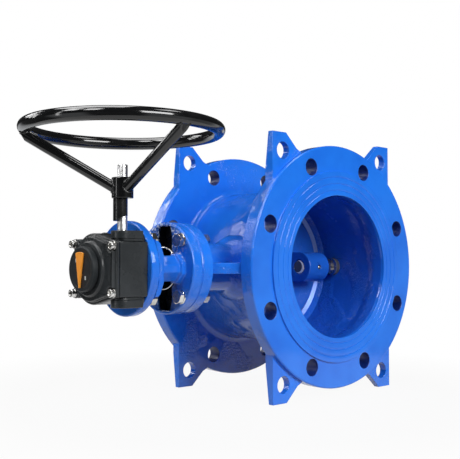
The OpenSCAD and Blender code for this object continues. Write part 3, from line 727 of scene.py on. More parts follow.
def piece(name: str, bm: Mesh, body: Body, finish: Finish, nodes: Iterable[str] = (),
          matrix: Matrix = Matrix.Identity(4), degrees: float = 34.0) -> None:
    """Stores a mesh as a finished piece.

    Args:
        name: The piece's name.
        bm: Its shape, freed here.
        body: The body it rides on.
        finish: Its finish.
        nodes: CAD nodes that it replaces.
        matrix: The move to its place.
        degrees: Sharpest edge that is still shaded smooth.
    """
    place(as_object(name, store(bm, name, matrix, degrees), finish), body, nodes)


def settle(obj: bpy.types.Object, name: str) -> bpy.types.Object:
    """Bakes an object's modifiers into a plain mesh and drops the helper.

    Args:
        obj: The object with modifiers, at the origin.
        name: The finished piece's name.

    Returns:
        A new object with the evaluated mesh and no modifiers.
    """
    depsgraph = bpy.context.evaluated_depsgraph_get()
    depsgraph.update()
    mesh = bpy.data.meshes.new_from_object(obj.evaluated_get(depsgraph), depsgraph=depsgraph)
    mesh.name = name
    bpy.data.objects.remove(obj)
    return as_object(name, mesh)


def merged(node: str) -> Mesh:
    """Copies a CAD node's mesh and joins its loose triangles.

    Args:
        node: The CAD node.

    Returns:
        The copy, which the caller frees.
    """
    bm = bmesh.new()
    bm.from_mesh(frame["nodes"][node].data)
    bmesh.ops.remove_doubles(bm, verts=bm.verts, dist=2 * SLIVER)
    bmesh.ops.dissolve_degenerate(bm, edges=bm.edges, dist=SLIVER)
    return bm


@dataclass(frozen=True)
class Rounding:
    """How a cast or machined piece has its edges rounded.

    Edges sharper than angle are rounded over width. Beside a face slimmer than slim times the
    width, only the narrow share of it is used.
    """

    width: float
    segments: int = 3
    angle: float = 28.0
    narrow: float = 0.25
    slim: float = 1.1

    def build(self, node: str, name: str, body: Body, finish: Finish) -> None:
        """Builds a rounded copy of a CAD node, which takes its place.

        Args:
            node: The CAD node.
            name: The new piece's name.
            body: The body it rides on.
            finish: Its finish.
        """
        bm = merged(node)
        bmesh.ops.dissolve_limit(bm, angle_limit=math.radians(FLAT_DEGREES), verts=bm.verts,
                                 edges=bm.edges)
        layer = bm.edges.layers.float.new("bevel_weight_edge")
        for edge in bm.edges:
            if len(edge.link_faces) == 2 and edge.calc_face_angle() > math.radians(self.angle):
                room = min(face.calc_area() for face in edge.link_faces) / max(edge.calc_length(), 1e-9)
                edge[layer] = self.narrow if room < self.width * self.slim else 1.0
        wide = [face for face in bm.faces if len(face.verts) > 4]
        bmesh.ops.triangulate(bm, faces=wide, quad_method="BEAUTY", ngon_method="BEAUTY")
        obj = as_object(name + "_draft", store(bm, name, degrees=40.0), finish)
        bevel = obj.modifiers.new("rounding", "BEVEL")
        bevel.width = self.width
        bevel.segments = self.segments
        bevel.limit_method = "WEIGHT"
        bevel.use_clamp_overlap = False
        bevel.miter_outer = "MITER_ARC"
        obj.modifiers.new("even_normals", "WEIGHTED_NORMAL").keep_sharp = True
        place(settle(obj, name), body, [node])


def polar(radius: float, angle: float, height: float) -> tuple[float, float, float]:
    """A point at a radius and an angle about +Z."""
    return radius * math.cos(angle), radius * math.sin(angle), height


def lathe(profile: Profile, segments: int = 64, closed: bool = False) -> Mesh:
    """Turns a profile of (radius, height) points about +Z.

    Args:
        profile: The points, from the bottom up the outside.
        segments: Steps round the axis.
        closed: True if the profile is a closed loop, such as a ring's section.

    Returns:
        The turned mesh, its ends closed.
    """
    bm = bmesh.new()
    rows = [[bm.verts.new(polar(radius, 2 * math.pi * i / segments, height))
             for i in range(1 if radius < NO_RADIUS else segments)] for radius, height in profile]
    for low, high in list(zip(rows, rows[1:])) + ([(rows[-1], rows[0])] if closed else []):
        for i in range(segments):
            j = (i + 1) % segments
            ring = [low[i % len(low)], low[j % len(low)], high[j % len(high)], high[i % len(high)]]
            corners = list(dict.fromkeys(ring))
            if len(corners) > 2:
                bm.faces.new(corners)
    if not closed:
        for row, flip in ((rows[0], True), (rows[-1], False)):
            if len(row) > 1:
                bm.faces.new(list(reversed(row)) if flip else row)
    bmesh.ops.recalc_face_normals(bm, faces=bm.faces)
    return bm


def bridge(bm: Mesh, rings: Sequence[Sequence[bmesh.types.BMVert]]) -> None:
    """Joins neighbouring rings with quads.

    Args:
        bm: The mesh that holds them.
        rings: Rings of as many vertices each.
    """
    for low, high in zip(rings, rings[1:]):
        for i, vert in enumerate(low):
            j = (i + 1) % len(low)
            bm.faces.new((vert, low[j], high[j], high[i]))


def join(bm: Mesh, part: Mesh) -> None:
    """Adds a part to a mesh.

    Args:
        bm: The mesh that is added to.
        part: The part, freed here.
    """
    scratch = bpy.data.meshes.new("part")
    part.to_mesh(scratch)
    part.free()
    bm.from_mesh(scratch)
    bpy.data.meshes.remove(scratch)


def arc(cx: float, cy: float, radius: float, start: float, end: float,
        steps: int) -> list[tuple[float, float]]:
    """Points of an arc.

    Args:
        cx: The centre's first coordinate.
        cy: The centre's second coordinate.
        radius: The arc's radius.
        start: The angle it starts at, in degrees.
        end: The angle it ends at, in degrees.
        steps: Steps between the points.

    Returns:
        The points, both ends included.
    """
    return [(cx + radius * math.cos(math.radians(start + (end - start) * i / steps)),
             cy + radius * math.sin(math.radians(start + (end - start) * i / steps)))
            for i in range(steps + 1)]


def solids(node: str) -> list[Box]:
    """Finds the separate solids of a CAD node.

    Args:
        node: The CAD node.

    Returns:
        The lowest and highest corner of each solid.
    """
    bm = merged(node)
    unseen = set(bm.verts)
    found = []
    while unseen:
        stack, group = [unseen.pop()], []
        while stack:
            vert = stack.pop()
            group.append(vert.co.copy())
            for edge in vert.link_edges:
                other = edge.other_vert(vert)
                if other in unseen:
                    unseen.discard(other)
                    stack.append(other)
        found.append(tuple(Vector(pick(p[k] for p in group) for k in range(3)) for pick in (min, max)))
    bm.free()
    return sorted(found, key=lambda box: tuple(round(x, 5) for x in box[0]))


# ---------------------------------------------------------------- fasteners


def hexagon(angle: float, flats: float) -> float:
    """Distance from the middle of a hexagon to its side, in the direction of an angle."""
    off = (angle + math.pi / 6) % (math.pi / 3) - math.pi / 6
    return flats / 2 / math.cos(off)


@dataclass(frozen=True)
class HexFastener:
    """A chamfered hexagon head or nut with an optional washer, shank and threaded end."""

    flats: float
    height: float
    washer: float = 0.0
    washer_t: float = 0.0
    shank: float = 0.0
    tail: float = 0.0
    bore: float = 0.0
    steps: int = 72
    round_steps: int = 40
    ease: float = 0.2 * MM
    rim_share: float = 0.96
    slope: float = 0.58
    pitch: float = 1.3 * MM
    crest: float = 0.7 * MM
    chamfer: float = 0.5 * MM

    def draft(self) -> bpy.types.Object:
        """Builds the fastener along +Z with its seat at the origin.

        Returns:
            A helper object.
        """
        bm = bmesh.new()
        base, rim, ease = self.washer_t, self.flats / 2 * self.rim_share, self.ease
        top = base + self.height
        shapes: list[Callable[[float], tuple[float, float]]] = [
            lambda side: (rim, base),
            lambda side: (min(side, rim + ease), base + ease),
            lambda side: (side, base + 2 * ease),
            lambda side: (side, top - max(0.0, side - rim) * self.slope),
            lambda side: (rim, top),
            lambda side: (rim - 3 * ease, top),
        ]
        angles = [2 * math.pi * i / self.steps for i in range(self.steps)]
        rings = []
        for shape in shapes:
            sizes = [shape(hexagon(angle, self.flats)) for angle in angles]
            rings.append([bm.verts.new(polar(radius, angle, height))
                          for angle, (radius, height) in zip(angles, sizes)])
        bridge(bm, rings)
        bm.faces.new(rings[-1])
        bm.faces.new(list(reversed(rings[0])))
        if self.washer > 0:
            edge = self.washer / 2
            join(bm, lathe([(0.0, 0.0), (edge - ease, 0.0), (edge, ease), (edge, base - 1.5 * ease),
                            (edge - 1.5 * ease, base), (0.0, base)], self.round_steps))
        if self.tail > 0:
            join(bm, lathe(self.thread(top - 2 * ease, top + self.tail), self.round_steps))
        if self.shank > 0:
            radius, foot = self.bore / 2, -self.shank
            join(bm, lathe([(0.0, foot), (radius - self.chamfer, foot), (radius, foot + self.chamfer),
                            (radius, 0.0), (0.0, 0.0)], self.round_steps))
        mesh = store(bm, "hexagon_fastener", degrees=25.0)
        return as_object("hexagon_fastener_draft", mesh, FASTENER)

    def thread(self, low: float, high: float) -> list[tuple[float, float]]:
        """Profile of a bolt end with thread crests and a chamfer.

        Args:
            low: Height that it starts at, inside the head.
            high: Height of its end.

        Returns:
            The (radius, height) points.
        """
        radius, pitch, crest = self.bore / 2, self.pitch, self.crest
        points = [(0.0, low), (radius, low)]
        height = low
        while height + pitch < high - 0.6 * MM:
            points += [(radius, height + pitch * 0.3), (radius - crest, height + pitch * 0.65)]
            height += pitch
        return points + [(radius, height), (radius - 0.9 * MM, high), (0.0, high)]


@dataclass(frozen=True)
class SocketScrew:
    """A cap screw with a hexagon socket, a rounded head and a spring washer."""

    head: float
    height: float
    socket: float
    depth: float
    washer_t: float = 1.2 * MM
    steps: int = 48

    def draft(self) -> bpy.types.Object:
        """Builds the screw along +Z with its seat at the origin.

        Returns:
            A helper object.
        """
        radius, top, lip, bend, seat = self.head / 2, self.height, 0.3 * MM, 0.8 * MM, self.washer_t
        inner, outer = radius + 0.4 * MM, radius + 0.6 * MM
        bm = lathe([(0.0, 0.0), (inner, 0.0), (outer, lip), (outer, seat - lip), (inner, seat),
                    (radius - 0.5 * MM, seat + 0.05 * MM), (radius - 0.1 * MM, seat + lip)]
                   + arc(radius - bend, top - bend, bend, 0, 90, 4)
                   + [(self.socket / 2 * 1.28, top), (self.socket / 2 * 1.18, top - lip)], self.steps)
        bm.faces.ensure_lookup_table()
        lid = max(bm.faces, key=lambda f: len(f.verts) * (f.calc_center_median().z > top / 2))
        bmesh.ops.delete(bm, geom=[lid], context="FACES_ONLY")
        rings = [sorted((v for v in bm.verts if abs(v.co.z - top + lip) < 1e-7),
                        key=lambda v: math.atan2(v.co.y, v.co.x))]
        angles = [math.atan2(vert.co.y, vert.co.x) for vert in rings[0]]
        for level in (top - 2 * lip, top - self.depth):
            rings.append([bm.verts.new(polar(hexagon(angle, self.socket), angle, level))
                          for angle in angles])
        bridge(bm, rings)
        bm.faces.new(rings[-1])
        bmesh.ops.recalc_face_normals(bm, faces=bm.faces)
        return as_object("socket_screw_draft", store(bm, "socket_screw", degrees=28.0), FASTENER)


@dataclass(frozen=True)
class DomeScrew:
    """A low dome screw with a round recess."""

    head: float
    height: float

    def draft(self) -> bpy.types.Object:
        """Builds the screw along +Z with its seat at the origin.

        Returns:
            A helper object.
        """
        radius, floor = self.head / 2, self.height * 0.5
        dome = [(radius * math.cos(math.radians(a)), self.height * math.sin(math.radians(a)))
                for a in (0, 15, 32, 50, 66)]
        well = [(radius * 0.34, self.height * 0.93), (radius * 0.27, floor), (0.0, floor)]
        mesh = store(lathe([(0.0, 0.0), *dome, *well], 24), "dome_screw")
        return as_object("dome_screw_draft", mesh, FASTENER)


class Pattern(Nodes):
    """A Geometry Nodes tree with named inputs, run on a helper mesh and baked."""

    def __init__(self, name: str, inputs: dict[str, str], output: str) -> None:
        """Makes the tree and keeps each input's identifier.

        Args:
            name: The tree's name.
            inputs: Each input's name and kind.
            output: The output's name.
        """
        super().__init__(bpy.data.node_groups.new(name, "GeometryNodeTree"))
        face = self.tree.interface
        self.ids = {}
        for key, kind in inputs.items():
            socket = face.new_socket(key, in_out="INPUT", socket_type="NodeSocket" + kind)
            self.ids[key] = socket.identifier
        face.new_socket(output, in_out="OUTPUT", socket_type="NodeSocketGeometry")
        self.given = self.node("NodeGroupInput").outputs

    def end(self, shape: Socket) -> None:
        """Makes the shape real, gives it the Finish input's material and hands it out.

        Args:
            shape: The geometry that the tree has built.
        """
        real = self.node("GeometryNodeRealizeInstances", {"Geometry": shape}).outputs["Geometry"]
        paint = self.node("GeometryNodeSetMaterial",
                          {"Geometry": real, "Material": self.given["Finish"]})
        self.node("NodeGroupOutput", {0: paint.outputs["Geometry"]})

    def run(self, name: str, points: Sequence[Vector], edges: Sequence[tuple[int, int]],
            finish: Finish, values: dict[str, object]) -> bpy.types.Object:
        """Runs the tree on a mesh and bakes the result.

        Args:
            name: The finished piece's name.
            points: The mesh's points.
            edges: Its edges.
            finish: The piece's finish.
            values: What the other inputs are set to.

        Returns:
            The finished piece.
        """
        mesh = bpy.data.meshes.new(name + "_base")
        mesh.from_pydata([tuple(p) for p in points], edges, [])
        base = as_object(name + "_base", mesh)
        modifier = base.modifiers.new("pattern", "NODES")
        modifier.node_group = self.tree
        for key, value in {**values, "Finish": paint_of(finish)}.items():
            modifier[self.ids[key]] = value
        return settle(base, name)


class FastenerPattern(Pattern):
    """A Geometry Nodes tree that puts one fastener on every point of a mesh."""

    HEXAGON_TURN = math.pi / 3

    def __init__(self) -> None:
        """Builds the tree."""
        super().__init__("fastener_pattern",
                         {"Spots": "Geometry", "Fastener": "Object", "Heading": "Vector",
                          "Turn Spread": "Float", "Seed": "Int", "Finish": "Material"}, "Fasteners")
        given = self.given
        info = self.node("GeometryNodeObjectInfo", {"Object": given["Fastener"], "As Instance": True})
        copies = self.node("GeometryNodeInstanceOnPoints",
                           {"Points": given["Spots"], "Instance": info.outputs["Geometry"],
                            "Rotation": given["Heading"]})
        spread = self.node("ShaderNodeCombineXYZ", {"Z": given["Turn Spread"]})
        chance = self.node("FunctionNodeRandomValue",
                           {"Max": spread.outputs["Vector"], "Seed": given["Seed"]},
                           data_type="FLOAT_VECTOR")
        turned = self.node("GeometryNodeRotateInstances", {"Instances": copies.outputs["Instances"],
                                                           "Rotation": chance.outputs["Value"]})
        self.end(turned.outputs["Instances"])

    def build(self, name: str, node: str, body: Body, level: float, draft: bpy.types.Object,
              heading: Axis, seed: int) -> None:
        """Puts a fastener in the place of each solid of a CAD node.

        Args:
            name: The finished piece's name.
            node: The CAD node.
            body: The body it rides on.
            level: Where the fasteners' seats are, along the axis that they point along.
            draft: The draft fastener, removed afterwards.
            heading: The way that the fastener's head points.
            seed: Seed of the turn of each head.
        """
        along = 1 if heading in (Axis.PLUS_Y, Axis.MINUS_Y) else 0
        spots = [(low + high) / 2 for low, high in solids(node)]
        for spot in spots:
            spot[along] = level
        made = self.run(name, spots, [], FASTENER, {"Fastener": draft, "Heading": heading.value,
                                                    "Turn Spread": self.HEXAGON_TURN, "Seed": seed})
        bpy.data.objects.remove(draft)
        place(made, body, [node])


class BeadPath(Pattern):
    """A Geometry Nodes tree that runs an uneven weld bead along closed loops."""

    SIDES = 10
    RIPPLE_SHARE = 0.5
    RIPPLE_SCALE = 420.0

    def __init__(self) -> None:
        """Builds the tree."""
        super().__init__("weld_bead",
                         {"Loops": "Geometry", "Bead Radius": "Float", "Ripple Depth": "Float",
                          "Ripple Scale": "Float", "Finish": "Material"}, "Beads")
        given = self.given
        curve = self.node("GeometryNodeMeshToCurve", {"Mesh": given["Loops"]})
        circle = self.node("GeometryNodeCurvePrimitiveCircle",
                           {"Resolution": self.SIDES, "Radius": given["Bead Radius"]})
        sweep = self.node("GeometryNodeCurveToMesh", {"Curve": curve.outputs["Curve"],
                                                      "Profile Curve": circle.outputs["Curve"]})
        noise = self.node("ShaderNodeTexNoise", {"Scale": given["Ripple Scale"]})
        height = self.times(self.calc("SUBTRACT", noise.outputs["Fac"], 0.5), given["Ripple Depth"])
        normal = self.node("GeometryNodeInputNormal").outputs["Normal"]
        push = self.node("ShaderNodeVectorMath", {"Vector": normal, "Scale": height}, operation="SCALE")
        shift = self.node("GeometryNodeSetPosition", {"Geometry": sweep.outputs["Mesh"],
                                                      "Offset": push.outputs["Vector"]})
        self.end(shift.outputs["Geometry"])

    def build(self, name: str, loops: Sequence[Sequence[Vector]], radius: float, body: Body,
              finish: Finish) -> None:
        """Runs a bead along each loop.

        Args:
            name: The finished piece's name.
            loops: Closed loops of points.
            radius: The bead's radius.
            body: The body it rides on.
            finish: Its finish.
        """
        points: list[Vector] = []
        edges = []
        for loop in loops:
            first = len(points)
            points += loop
            edges += [(first + i, first + (i + 1) % len(loop)) for i in range(len(loop))]
        made = self.run(name, points, edges, finish,
                        {"Bead Radius": radius, "Ripple Depth": radius * self.RIPPLE_SHARE,
                         "Ripple Scale": self.RIPPLE_SCALE})
        bm = bmesh.new()
        bm.from_mesh(made.data)
        bmesh.ops.recalc_face_normals(bm, faces=bm.faces)
        bm.to_mesh(made.data)
        bm.free()
        smooth(made.data, 60.0)
        place(made, body)


# ------------------------------------------------------------ sub-assemblies


def across(box: Box, axis: int) -> float:
    """A box's size along an axis."""
    return box[1][axis] - box[0][axis]


def middle(box: Box) -> Vector:
    """The middle of a box."""
    return (box[0] + box[1]) / 2


@dataclass
class ValveCasting:
    """The coated body with its seat, bushes and the cover of the blind neck."""

    edge: Rounding = Rounding(0.5 * MM, 2)
    cover_edge: Rounding = Rounding(0.9 * MM)
    bolt: HexFastener = HexFastener(flats=16 * MM, height=6.4 * MM)

    def build(self, pattern: FastenerPattern) -> None:
        """Builds the casting, its cover and the cover's bolts.

        Args:
            pattern: The tree that places fasteners.
        """
        self.edge.build("body_casting", "coated_body", Body.VALVE, EPOXY)
        self.cover_edge.build("end_cover", "coated_end_cover", Body.VALVE, EPOXY)
        pattern.build("end_cover_hex_bolts", "end_cover_bolts", Body.VALVE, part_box("end_cover")[1].x,
                      self.bolt.draft(), Axis.PLUS_X, seed=11)

    def dress(self) -> None:
        """Dresses the pieces whose CAD shape stays."""
        dress("seat_ring", SEAT)
        dress("drive_bush", BUSH)
        dress("end_bush", BUSH_STEEL)


@dataclass
class MountingBracket:
    """The two-flanged bracket between neck and gearbox, with its gland sleeve and bolts."""

    edge: Rounding = Rounding(1.7 * MM, angle=25.0)
    sleeve_edge: Rounding = Rounding(0.7 * MM)
    flats: float = 16 * MM
    head: float = 6.4 * MM
    nut: float = 8.4 * MM
    washer: float = 18 * MM
    washer_t: float = 2 * MM
    thread: float = 10 * MM
    neck_shank: float = 40 * MM
    gearbox_shank: float = 18 * MM

    def build(self, pattern: FastenerPattern) -> None:
        """Builds the bracket, its sleeve, the joint's coat and three sets of fasteners.

        Args:
            pattern: The tree that places fasteners.
        """
        self.edge.build("bracket", "coated_bracket", Body.VALVE, ROUGH_EPOXY)
        self.sleeve_edge.build("gland_sleeve", "gland_sleeve_turned", Body.VALVE, GLAND)
        self.seam()
        reach = self.washer_t + self.head
        pattern.build("neck_hex_bolts", "neck_bolts", Body.VALVE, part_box("neck_bolts")[0].x + reach,
                      self.bolt(self.neck_shank).draft(), Axis.MINUS_X, seed=23)
        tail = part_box("neck_bolts")[1].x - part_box("neck_nuts")[1].x
        nut = HexFastener(self.flats, self.nut, tail=tail, bore=self.thread)
        pattern.build("neck_hex_nuts", "neck_nuts", Body.VALVE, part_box("neck_nuts")[0].x, nut.draft(),
                      Axis.PLUS_X, seed=5)
        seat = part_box("gearbox_bolts")[1].x - reach
        pattern.build("gearbox_hex_bolts", "gearbox_bolts", Body.VALVE, seat,
                      self.bolt(self.gearbox_shank).draft(), Axis.PLUS_X, seed=31)

    def bolt(self, shank: float) -> HexFastener:
        """A bolt with a washer and a shank of some length."""
        return HexFastener(self.flats, self.head, self.washer, self.washer_t, shank=shank,
                           bore=self.thread)

    def seam(self) -> None:
        """Builds the coat that bridges the joint between the neck and the bracket."""
        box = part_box("neck_gasket")
        radius, half = across(box, 2) / 2, across(box, 0) / 2
        inner, outer, crown = radius - 0.5 * MM, radius + 1.2 * MM, radius + 1.5 * MM
        profile = [(inner, -half), (outer, -half), (crown, 0.0), (outer, half), (inner, half)]
        piece("neck_joint_coat", lathe(profile, 128, True), Body.VALVE, ROUGH_EPOXY,
              matrix=Axis.PLUS_X.at(middle(box)))

    def dress(self) -> None:
        """Dresses the piece whose CAD shape stays."""
        dress("neck_gasket", RUBBER)


@dataclass
class WormGearbox:
    """The gearbox castings, cover screws, indicator cap and pointer."""

    housing_edge: Rounding = Rounding(1.8 * MM, angle=25.0)
    cover_edge: Rounding = Rounding(1.4 * MM, angle=25.0)
    boss_edge: Rounding = Rounding(1.0 * MM, angle=25.0)
    pointer_edge: Rounding = Rounding(0.5 * MM, angle=30.0)
    screw: SocketScrew = SocketScrew(head=10 * MM, height=6 * MM, socket=5 * MM, depth=3 * MM)
    mark: tuple[float, float, float] = (4.6 * MM, 2.2 * MM, 0.7 * MM)
    mark_share: float = 0.38

    def build(self, pattern: FastenerPattern) -> None:
        """Builds the castings, screws, cap, marks and pointer.

        Args:
            pattern: The tree that places fasteners.
        """
        for node, name, edge in (("gearbox_housing", "gearbox_case", self.housing_edge),
                                 ("gearbox_cover", "gearbox_cover_plate", self.cover_edge),
                                 ("top_bearing_cap", "gearbox_top_boss", self.boss_edge),
                                 ("bottom_bearing_cap", "gearbox_bottom_boss", self.boss_edge)):
            edge.build(node, name, Body.VALVE, SATIN)
        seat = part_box("cover_screws")[0].x + self.screw.height
        pattern.build("cover_socket_screws", "cover_screws", Body.VALVE, seat, self.screw.draft(),
                      Axis.MINUS_X, seed=3)
        self.indicator()

    def indicator(self) -> None:
        """Builds the domed cap, its two pale end marks and the pointer."""
        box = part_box("indicator_cap")
        radius, depth, bend, edge = across(box, 2) / 2, across(box, 0), 2.2 * MM, 0.6 * MM
        floor, centre = depth - 0.4 * MM, middle(box)
        centre.x = box[1].x
        profile = ([(0.0, 0.0), (radius - edge, 0.0), (radius, edge)]
                   + arc(radius - bend, depth - bend, bend, 0, 90, 6)
                   + [(radius * 0.82, depth - 0.1 * MM), (radius * 0.80, floor),
                      (radius * 0.78, floor), (0.0, floor)])
        turn = Axis.MINUS_X.at(centre)
        piece("indicator_dome", lathe(profile, 96), Body.STEM, CAP, ["indicator_cap"], turn)
        marks = bmesh.new()
        for side in (1.0, -1.0):
            away = side * radius * self.mark_share
            spot = Matrix.Translation((away, away, depth - 0.3 * MM))
            size = Matrix.Diagonal((*self.mark, 1.0))
            made = bmesh.ops.create_cube(marks, size=1.0, matrix=spot @ size)
            bmesh.ops.bevel(marks, geom=list({e for v in made["verts"] for e in v.link_edges}),
                            offset=0.18 * MM, segments=2, affect="EDGES")
        piece("indicator_marks", marks, Body.STEM, PALE, matrix=turn)
        self.pointer_edge.build("pointer", "indicator_pointer", Body.STEM, ORANGE)


@dataclass
class DiscAndStem:
    """The coated disc with its seal, retainer, screws and split shaft."""

    edge: Rounding = Rounding(1.2 * MM, angle=26.0)
    ring_edge: Rounding = Rounding(0.4 * MM, 2)
    shaft_edge: Rounding = Rounding(2.6 * MM, 4)
    screw: DomeScrew = DomeScrew(9.5 * MM, 2.8 * MM)

    def build(self, pattern: FastenerPattern) -> None:
        """Builds the disc, retainer, retainer screws, shafts and pins.

        Args:
            pattern: The tree that places fasteners.
        """
        self.edge.build("disc", "coated_disc", Body.STEM, DISC_SHADE_EPOXY)
        self.ring_edge.build("seal_retainer", "seal_retainer_ring", Body.STEM, SEAT)
        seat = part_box("retainer_screws")[1].y - self.screw.height
        pattern.build("retainer_dome_screws", "retainer_screws", Body.STEM, seat, self.screw.draft(),
                      Axis.PLUS_Y, seed=7)
        for node in ("drive_shaft", "stub_shaft"):
            self.shaft_edge.build(node, node + "_chamfered", Body.STEM, STUB)
        self.pins()

    def pins(self) -> None:
        """Builds the taper pins, their small ends domed inside a recess ringed in black painted shade.
        """
        pins, shade_rings = bmesh.new(), bmesh.new()
        for low, high in solids("taper_pins"):
            radius, length = (high.x - low.x) / 2, high.y - low.y
            nose, step = radius * 0.55, 1.6 * MM
            neck = length - step
            profile = [(0.0, 0.0), (radius - step / 4, 0.0), (radius, step / 4), (radius, neck),
                       (nose, neck), (nose, length - step / 2), (nose * 0.7, length - step / 6),
                       (0.0, length)]
            # Painted shade: a black ring fills each pin's recess.
            ring = [(nose, neck), (radius, neck), (radius, length - step / 3),
                    (radius * 0.8, length - step * 0.7)]
            move = Axis.MINUS_Y.at(Vector(((low.x + high.x) / 2, high.y, (low.z + high.z) / 2)))
            for target, part in ((pins, lathe(profile, 32)), (shade_rings, lathe(ring, 32, True))):
                part.transform(move)
                join(target, part)
        piece("taper_pin_recess", shade_rings, Body.STEM, BUSH)
        piece("taper_pins_domed", pins, Body.STEM, TURNED_X, ["taper_pins"])

    def dress(self) -> None:
        """Dresses the piece whose CAD shape stays."""
        dress("disc_seal", RUBBER)


@dataclass
class HandWheel:
    """The tubular handwheel with its hub, sleeve, welds and bright input shaft."""

    hub_edge: Rounding = Rounding(0.9 * MM)
    sleeve_edge: Rounding = Rounding(0.6 * MM)
    bead: float = 1.3 * MM
    overhang: float = 4.5 * MM
    steps: int = 40
    reach: float = 120 * MM
    strides: int = 240
    halvings: int = 12
    root_mm: float = 3.0
    tip_mm: float = 0.8
    tip_bevel: float = 0.5 * MM
    cut_slope: float = 0.6
    axis: Vector = field(init=False)
    tube: float = field(init=False)
    rim_center: float = field(init=False)
    rim_z: float = field(init=False)
    hub_r: float = field(init=False)

    def __post_init__(self) -> None:
        """Reads the wheel's axis and sizes from its CAD boxes."""
        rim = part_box("wheel_rim")
        x, y, self.rim_z = ((low + high) / 2 for low, high in zip(*rim))
        self.axis = Vector((x, y, 0.0))
        self.tube = across(rim, 2) / 2
        self.rim_center = across(rim, 0) / 2 - self.tube
        self.hub_r = across(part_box("wheel_hub"), 0) / 2

    def build(self) -> None:
        """Builds rim, spokes, welds, hub, sleeve and input shaft."""
        section = arc(self.rim_center, 0.0, self.tube, 0, 360, 40)[:-1]
        piece("wheel_rim_tube", lathe(section, 192, True), Body.WHEEL, POWDER, ["wheel_rim"],
              Matrix.Translation(self.axis + Vector((0, 0, self.rim_z))))
        loops = []
        for node in ("spoke_front", "spoke_left", "spoke_right"):
            loops += self.spoke(node)
        BeadPath().build("wheel_weld_beads", loops, self.bead, Body.WHEEL, POWDER)
        self.hub_edge.build("wheel_hub", "wheel_hub_turned", Body.WHEEL, POWDER)
        self.sleeve_edge.build("hub_sleeve", "hub_sleeve_cut", Body.WHEEL, SLEEVE)
        self.shaft()

    def shaft(self) -> None:
        """Turns the bright input shaft, with a chamfer and a centre drilling at its top."""
        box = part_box("input_shaft")
        foot, top = box[0].z, box[1].z
        radius, chamfer, drill = across(box, 0) / 2, 0.9 * MM, 0.9 * MM
        profile = [(0.0, foot), (radius - chamfer, foot), (radius, foot + chamfer),
                   (radius, top - chamfer), (radius - chamfer * 0.3, top - chamfer * 0.3),
                   (radius - chamfer, top), (1.6 * MM, top), (drill, top - 0.8 * MM),
                   (drill, top - 2.4 * MM), (0.0, top - 2.9 * MM)]
        piece("input_shaft_turned", lathe(profile, 96), Body.WHEEL, BRIGHT, ["input_shaft"],
              Matrix.Translation(self.axis))

    def spoke(self, node: str) -> list[list[Vector]]:
        """Builds one spoke as a round tube, cut on the slant under the rim.

        Args:
            node: The spoke's CAD node.

        Returns:
            The weld loops at the hub and at the rim.
        """
        start, along, radius = self.line(node)
        side = along.cross(Vector((0, 0, 1))).normalized()
        up = side.cross(along)
        rows: list[list[Vector]] = [[], [], [], []]
        hub_loop, rim_loop = [], []
        for i in range(self.steps):
            angle = 2 * math.pi * i / self.steps
            outward = math.cos(angle) * side + math.sin(angle) * up
            base = start + radius * outward
            foot = self.march(base, -along, lambda p: self.hub_r - math.hypot(p.x, p.y))
            tip = self.march(base, along, self.past_cut)
            head = self.march(base, along, lambda p: max(self.in_rim(p), self.past_cut(p)))
            rows[0].append(foot - along * self.root_mm * MM)
            rows[1].append(base)
            rows[2].append(tip - along * self.tip_mm * MM)
            rows[3].append(tip - self.tip_bevel * outward)
            hub_loop.append(self.axis + foot)
            rim_loop.append(self.axis + self.on_rim(head))
        bm = bmesh.new()
        rings = [[bm.verts.new(self.axis + p) for p in row] for row in rows]
        bridge(bm, rings)
        for ring in (rings[0], rings[-1]):
            centre = bm.verts.new(sum((v.co for v in ring), Vector()) / len(ring))
            for i in range(self.steps):
                bm.faces.new((ring[i], ring[(i + 1) % self.steps], centre))
        bmesh.ops.recalc_face_normals(bm, faces=bm.faces)
        piece(node + "_tube", bm, Body.WHEEL, POWDER, [node], degrees=40.0)
        return [hub_loop, rim_loop]

    def line(self, node: str) -> tuple[Vector, Vector, float]:
        """Centre line of a spoke, from the long edges of its CAD shape.

        Args:
            node: The spoke's CAD node.

        Returns:
            A point on the line, measured from the wheel's axis, the direction outward and the radius.
        """
        bm = merged(node)
        longest = max(edge.calc_length() for edge in bm.edges)
        runs = [sorted((v.co - self.axis for v in edge.verts), key=lambda p: math.hypot(p.x, p.y))
                for edge in bm.edges if edge.calc_length() > longest * 0.7]
        bm.free()
        along = sum((far - near for near, far in runs), Vector()).normalized()
        centre = sum((far + near for near, far in runs), Vector()) / (2 * len(runs))
        away = [((near - centre) - along * (near - centre).dot(along)).length for near, _ in runs]
        return centre, along, sum(away) / len(away)

    def in_rim(self, point: Vector) -> float:
        """How far inside the rim's tube a point lies, negative outside."""
        ring = math.hypot(point.x, point.y) - self.rim_center
        return self.tube - math.hypot(ring, point.z - self.rim_z)

    def past_cut(self, point: Vector) -> float:
        """How far a point is past the slanted cut that ends a spoke under the rim."""
        slant = self.overhang - max(0.0, self.rim_z - self.tube - point.z) * self.cut_slope
        return math.hypot(point.x, point.y) - self.rim_center - slant

    def on_rim(self, point: Vector) -> Vector:
        """Moves a point to the surface of the rim's tube.

        Args:
            point: The point, measured from the wheel's axis.

        Returns:
            The nearest point on the surface.
        """
        flat = Vector((point.x, point.y, 0.0)).normalized() * self.rim_center
        centre = flat + Vector((0, 0, self.rim_z))
        return centre + (point - centre).normalized() * self.tube

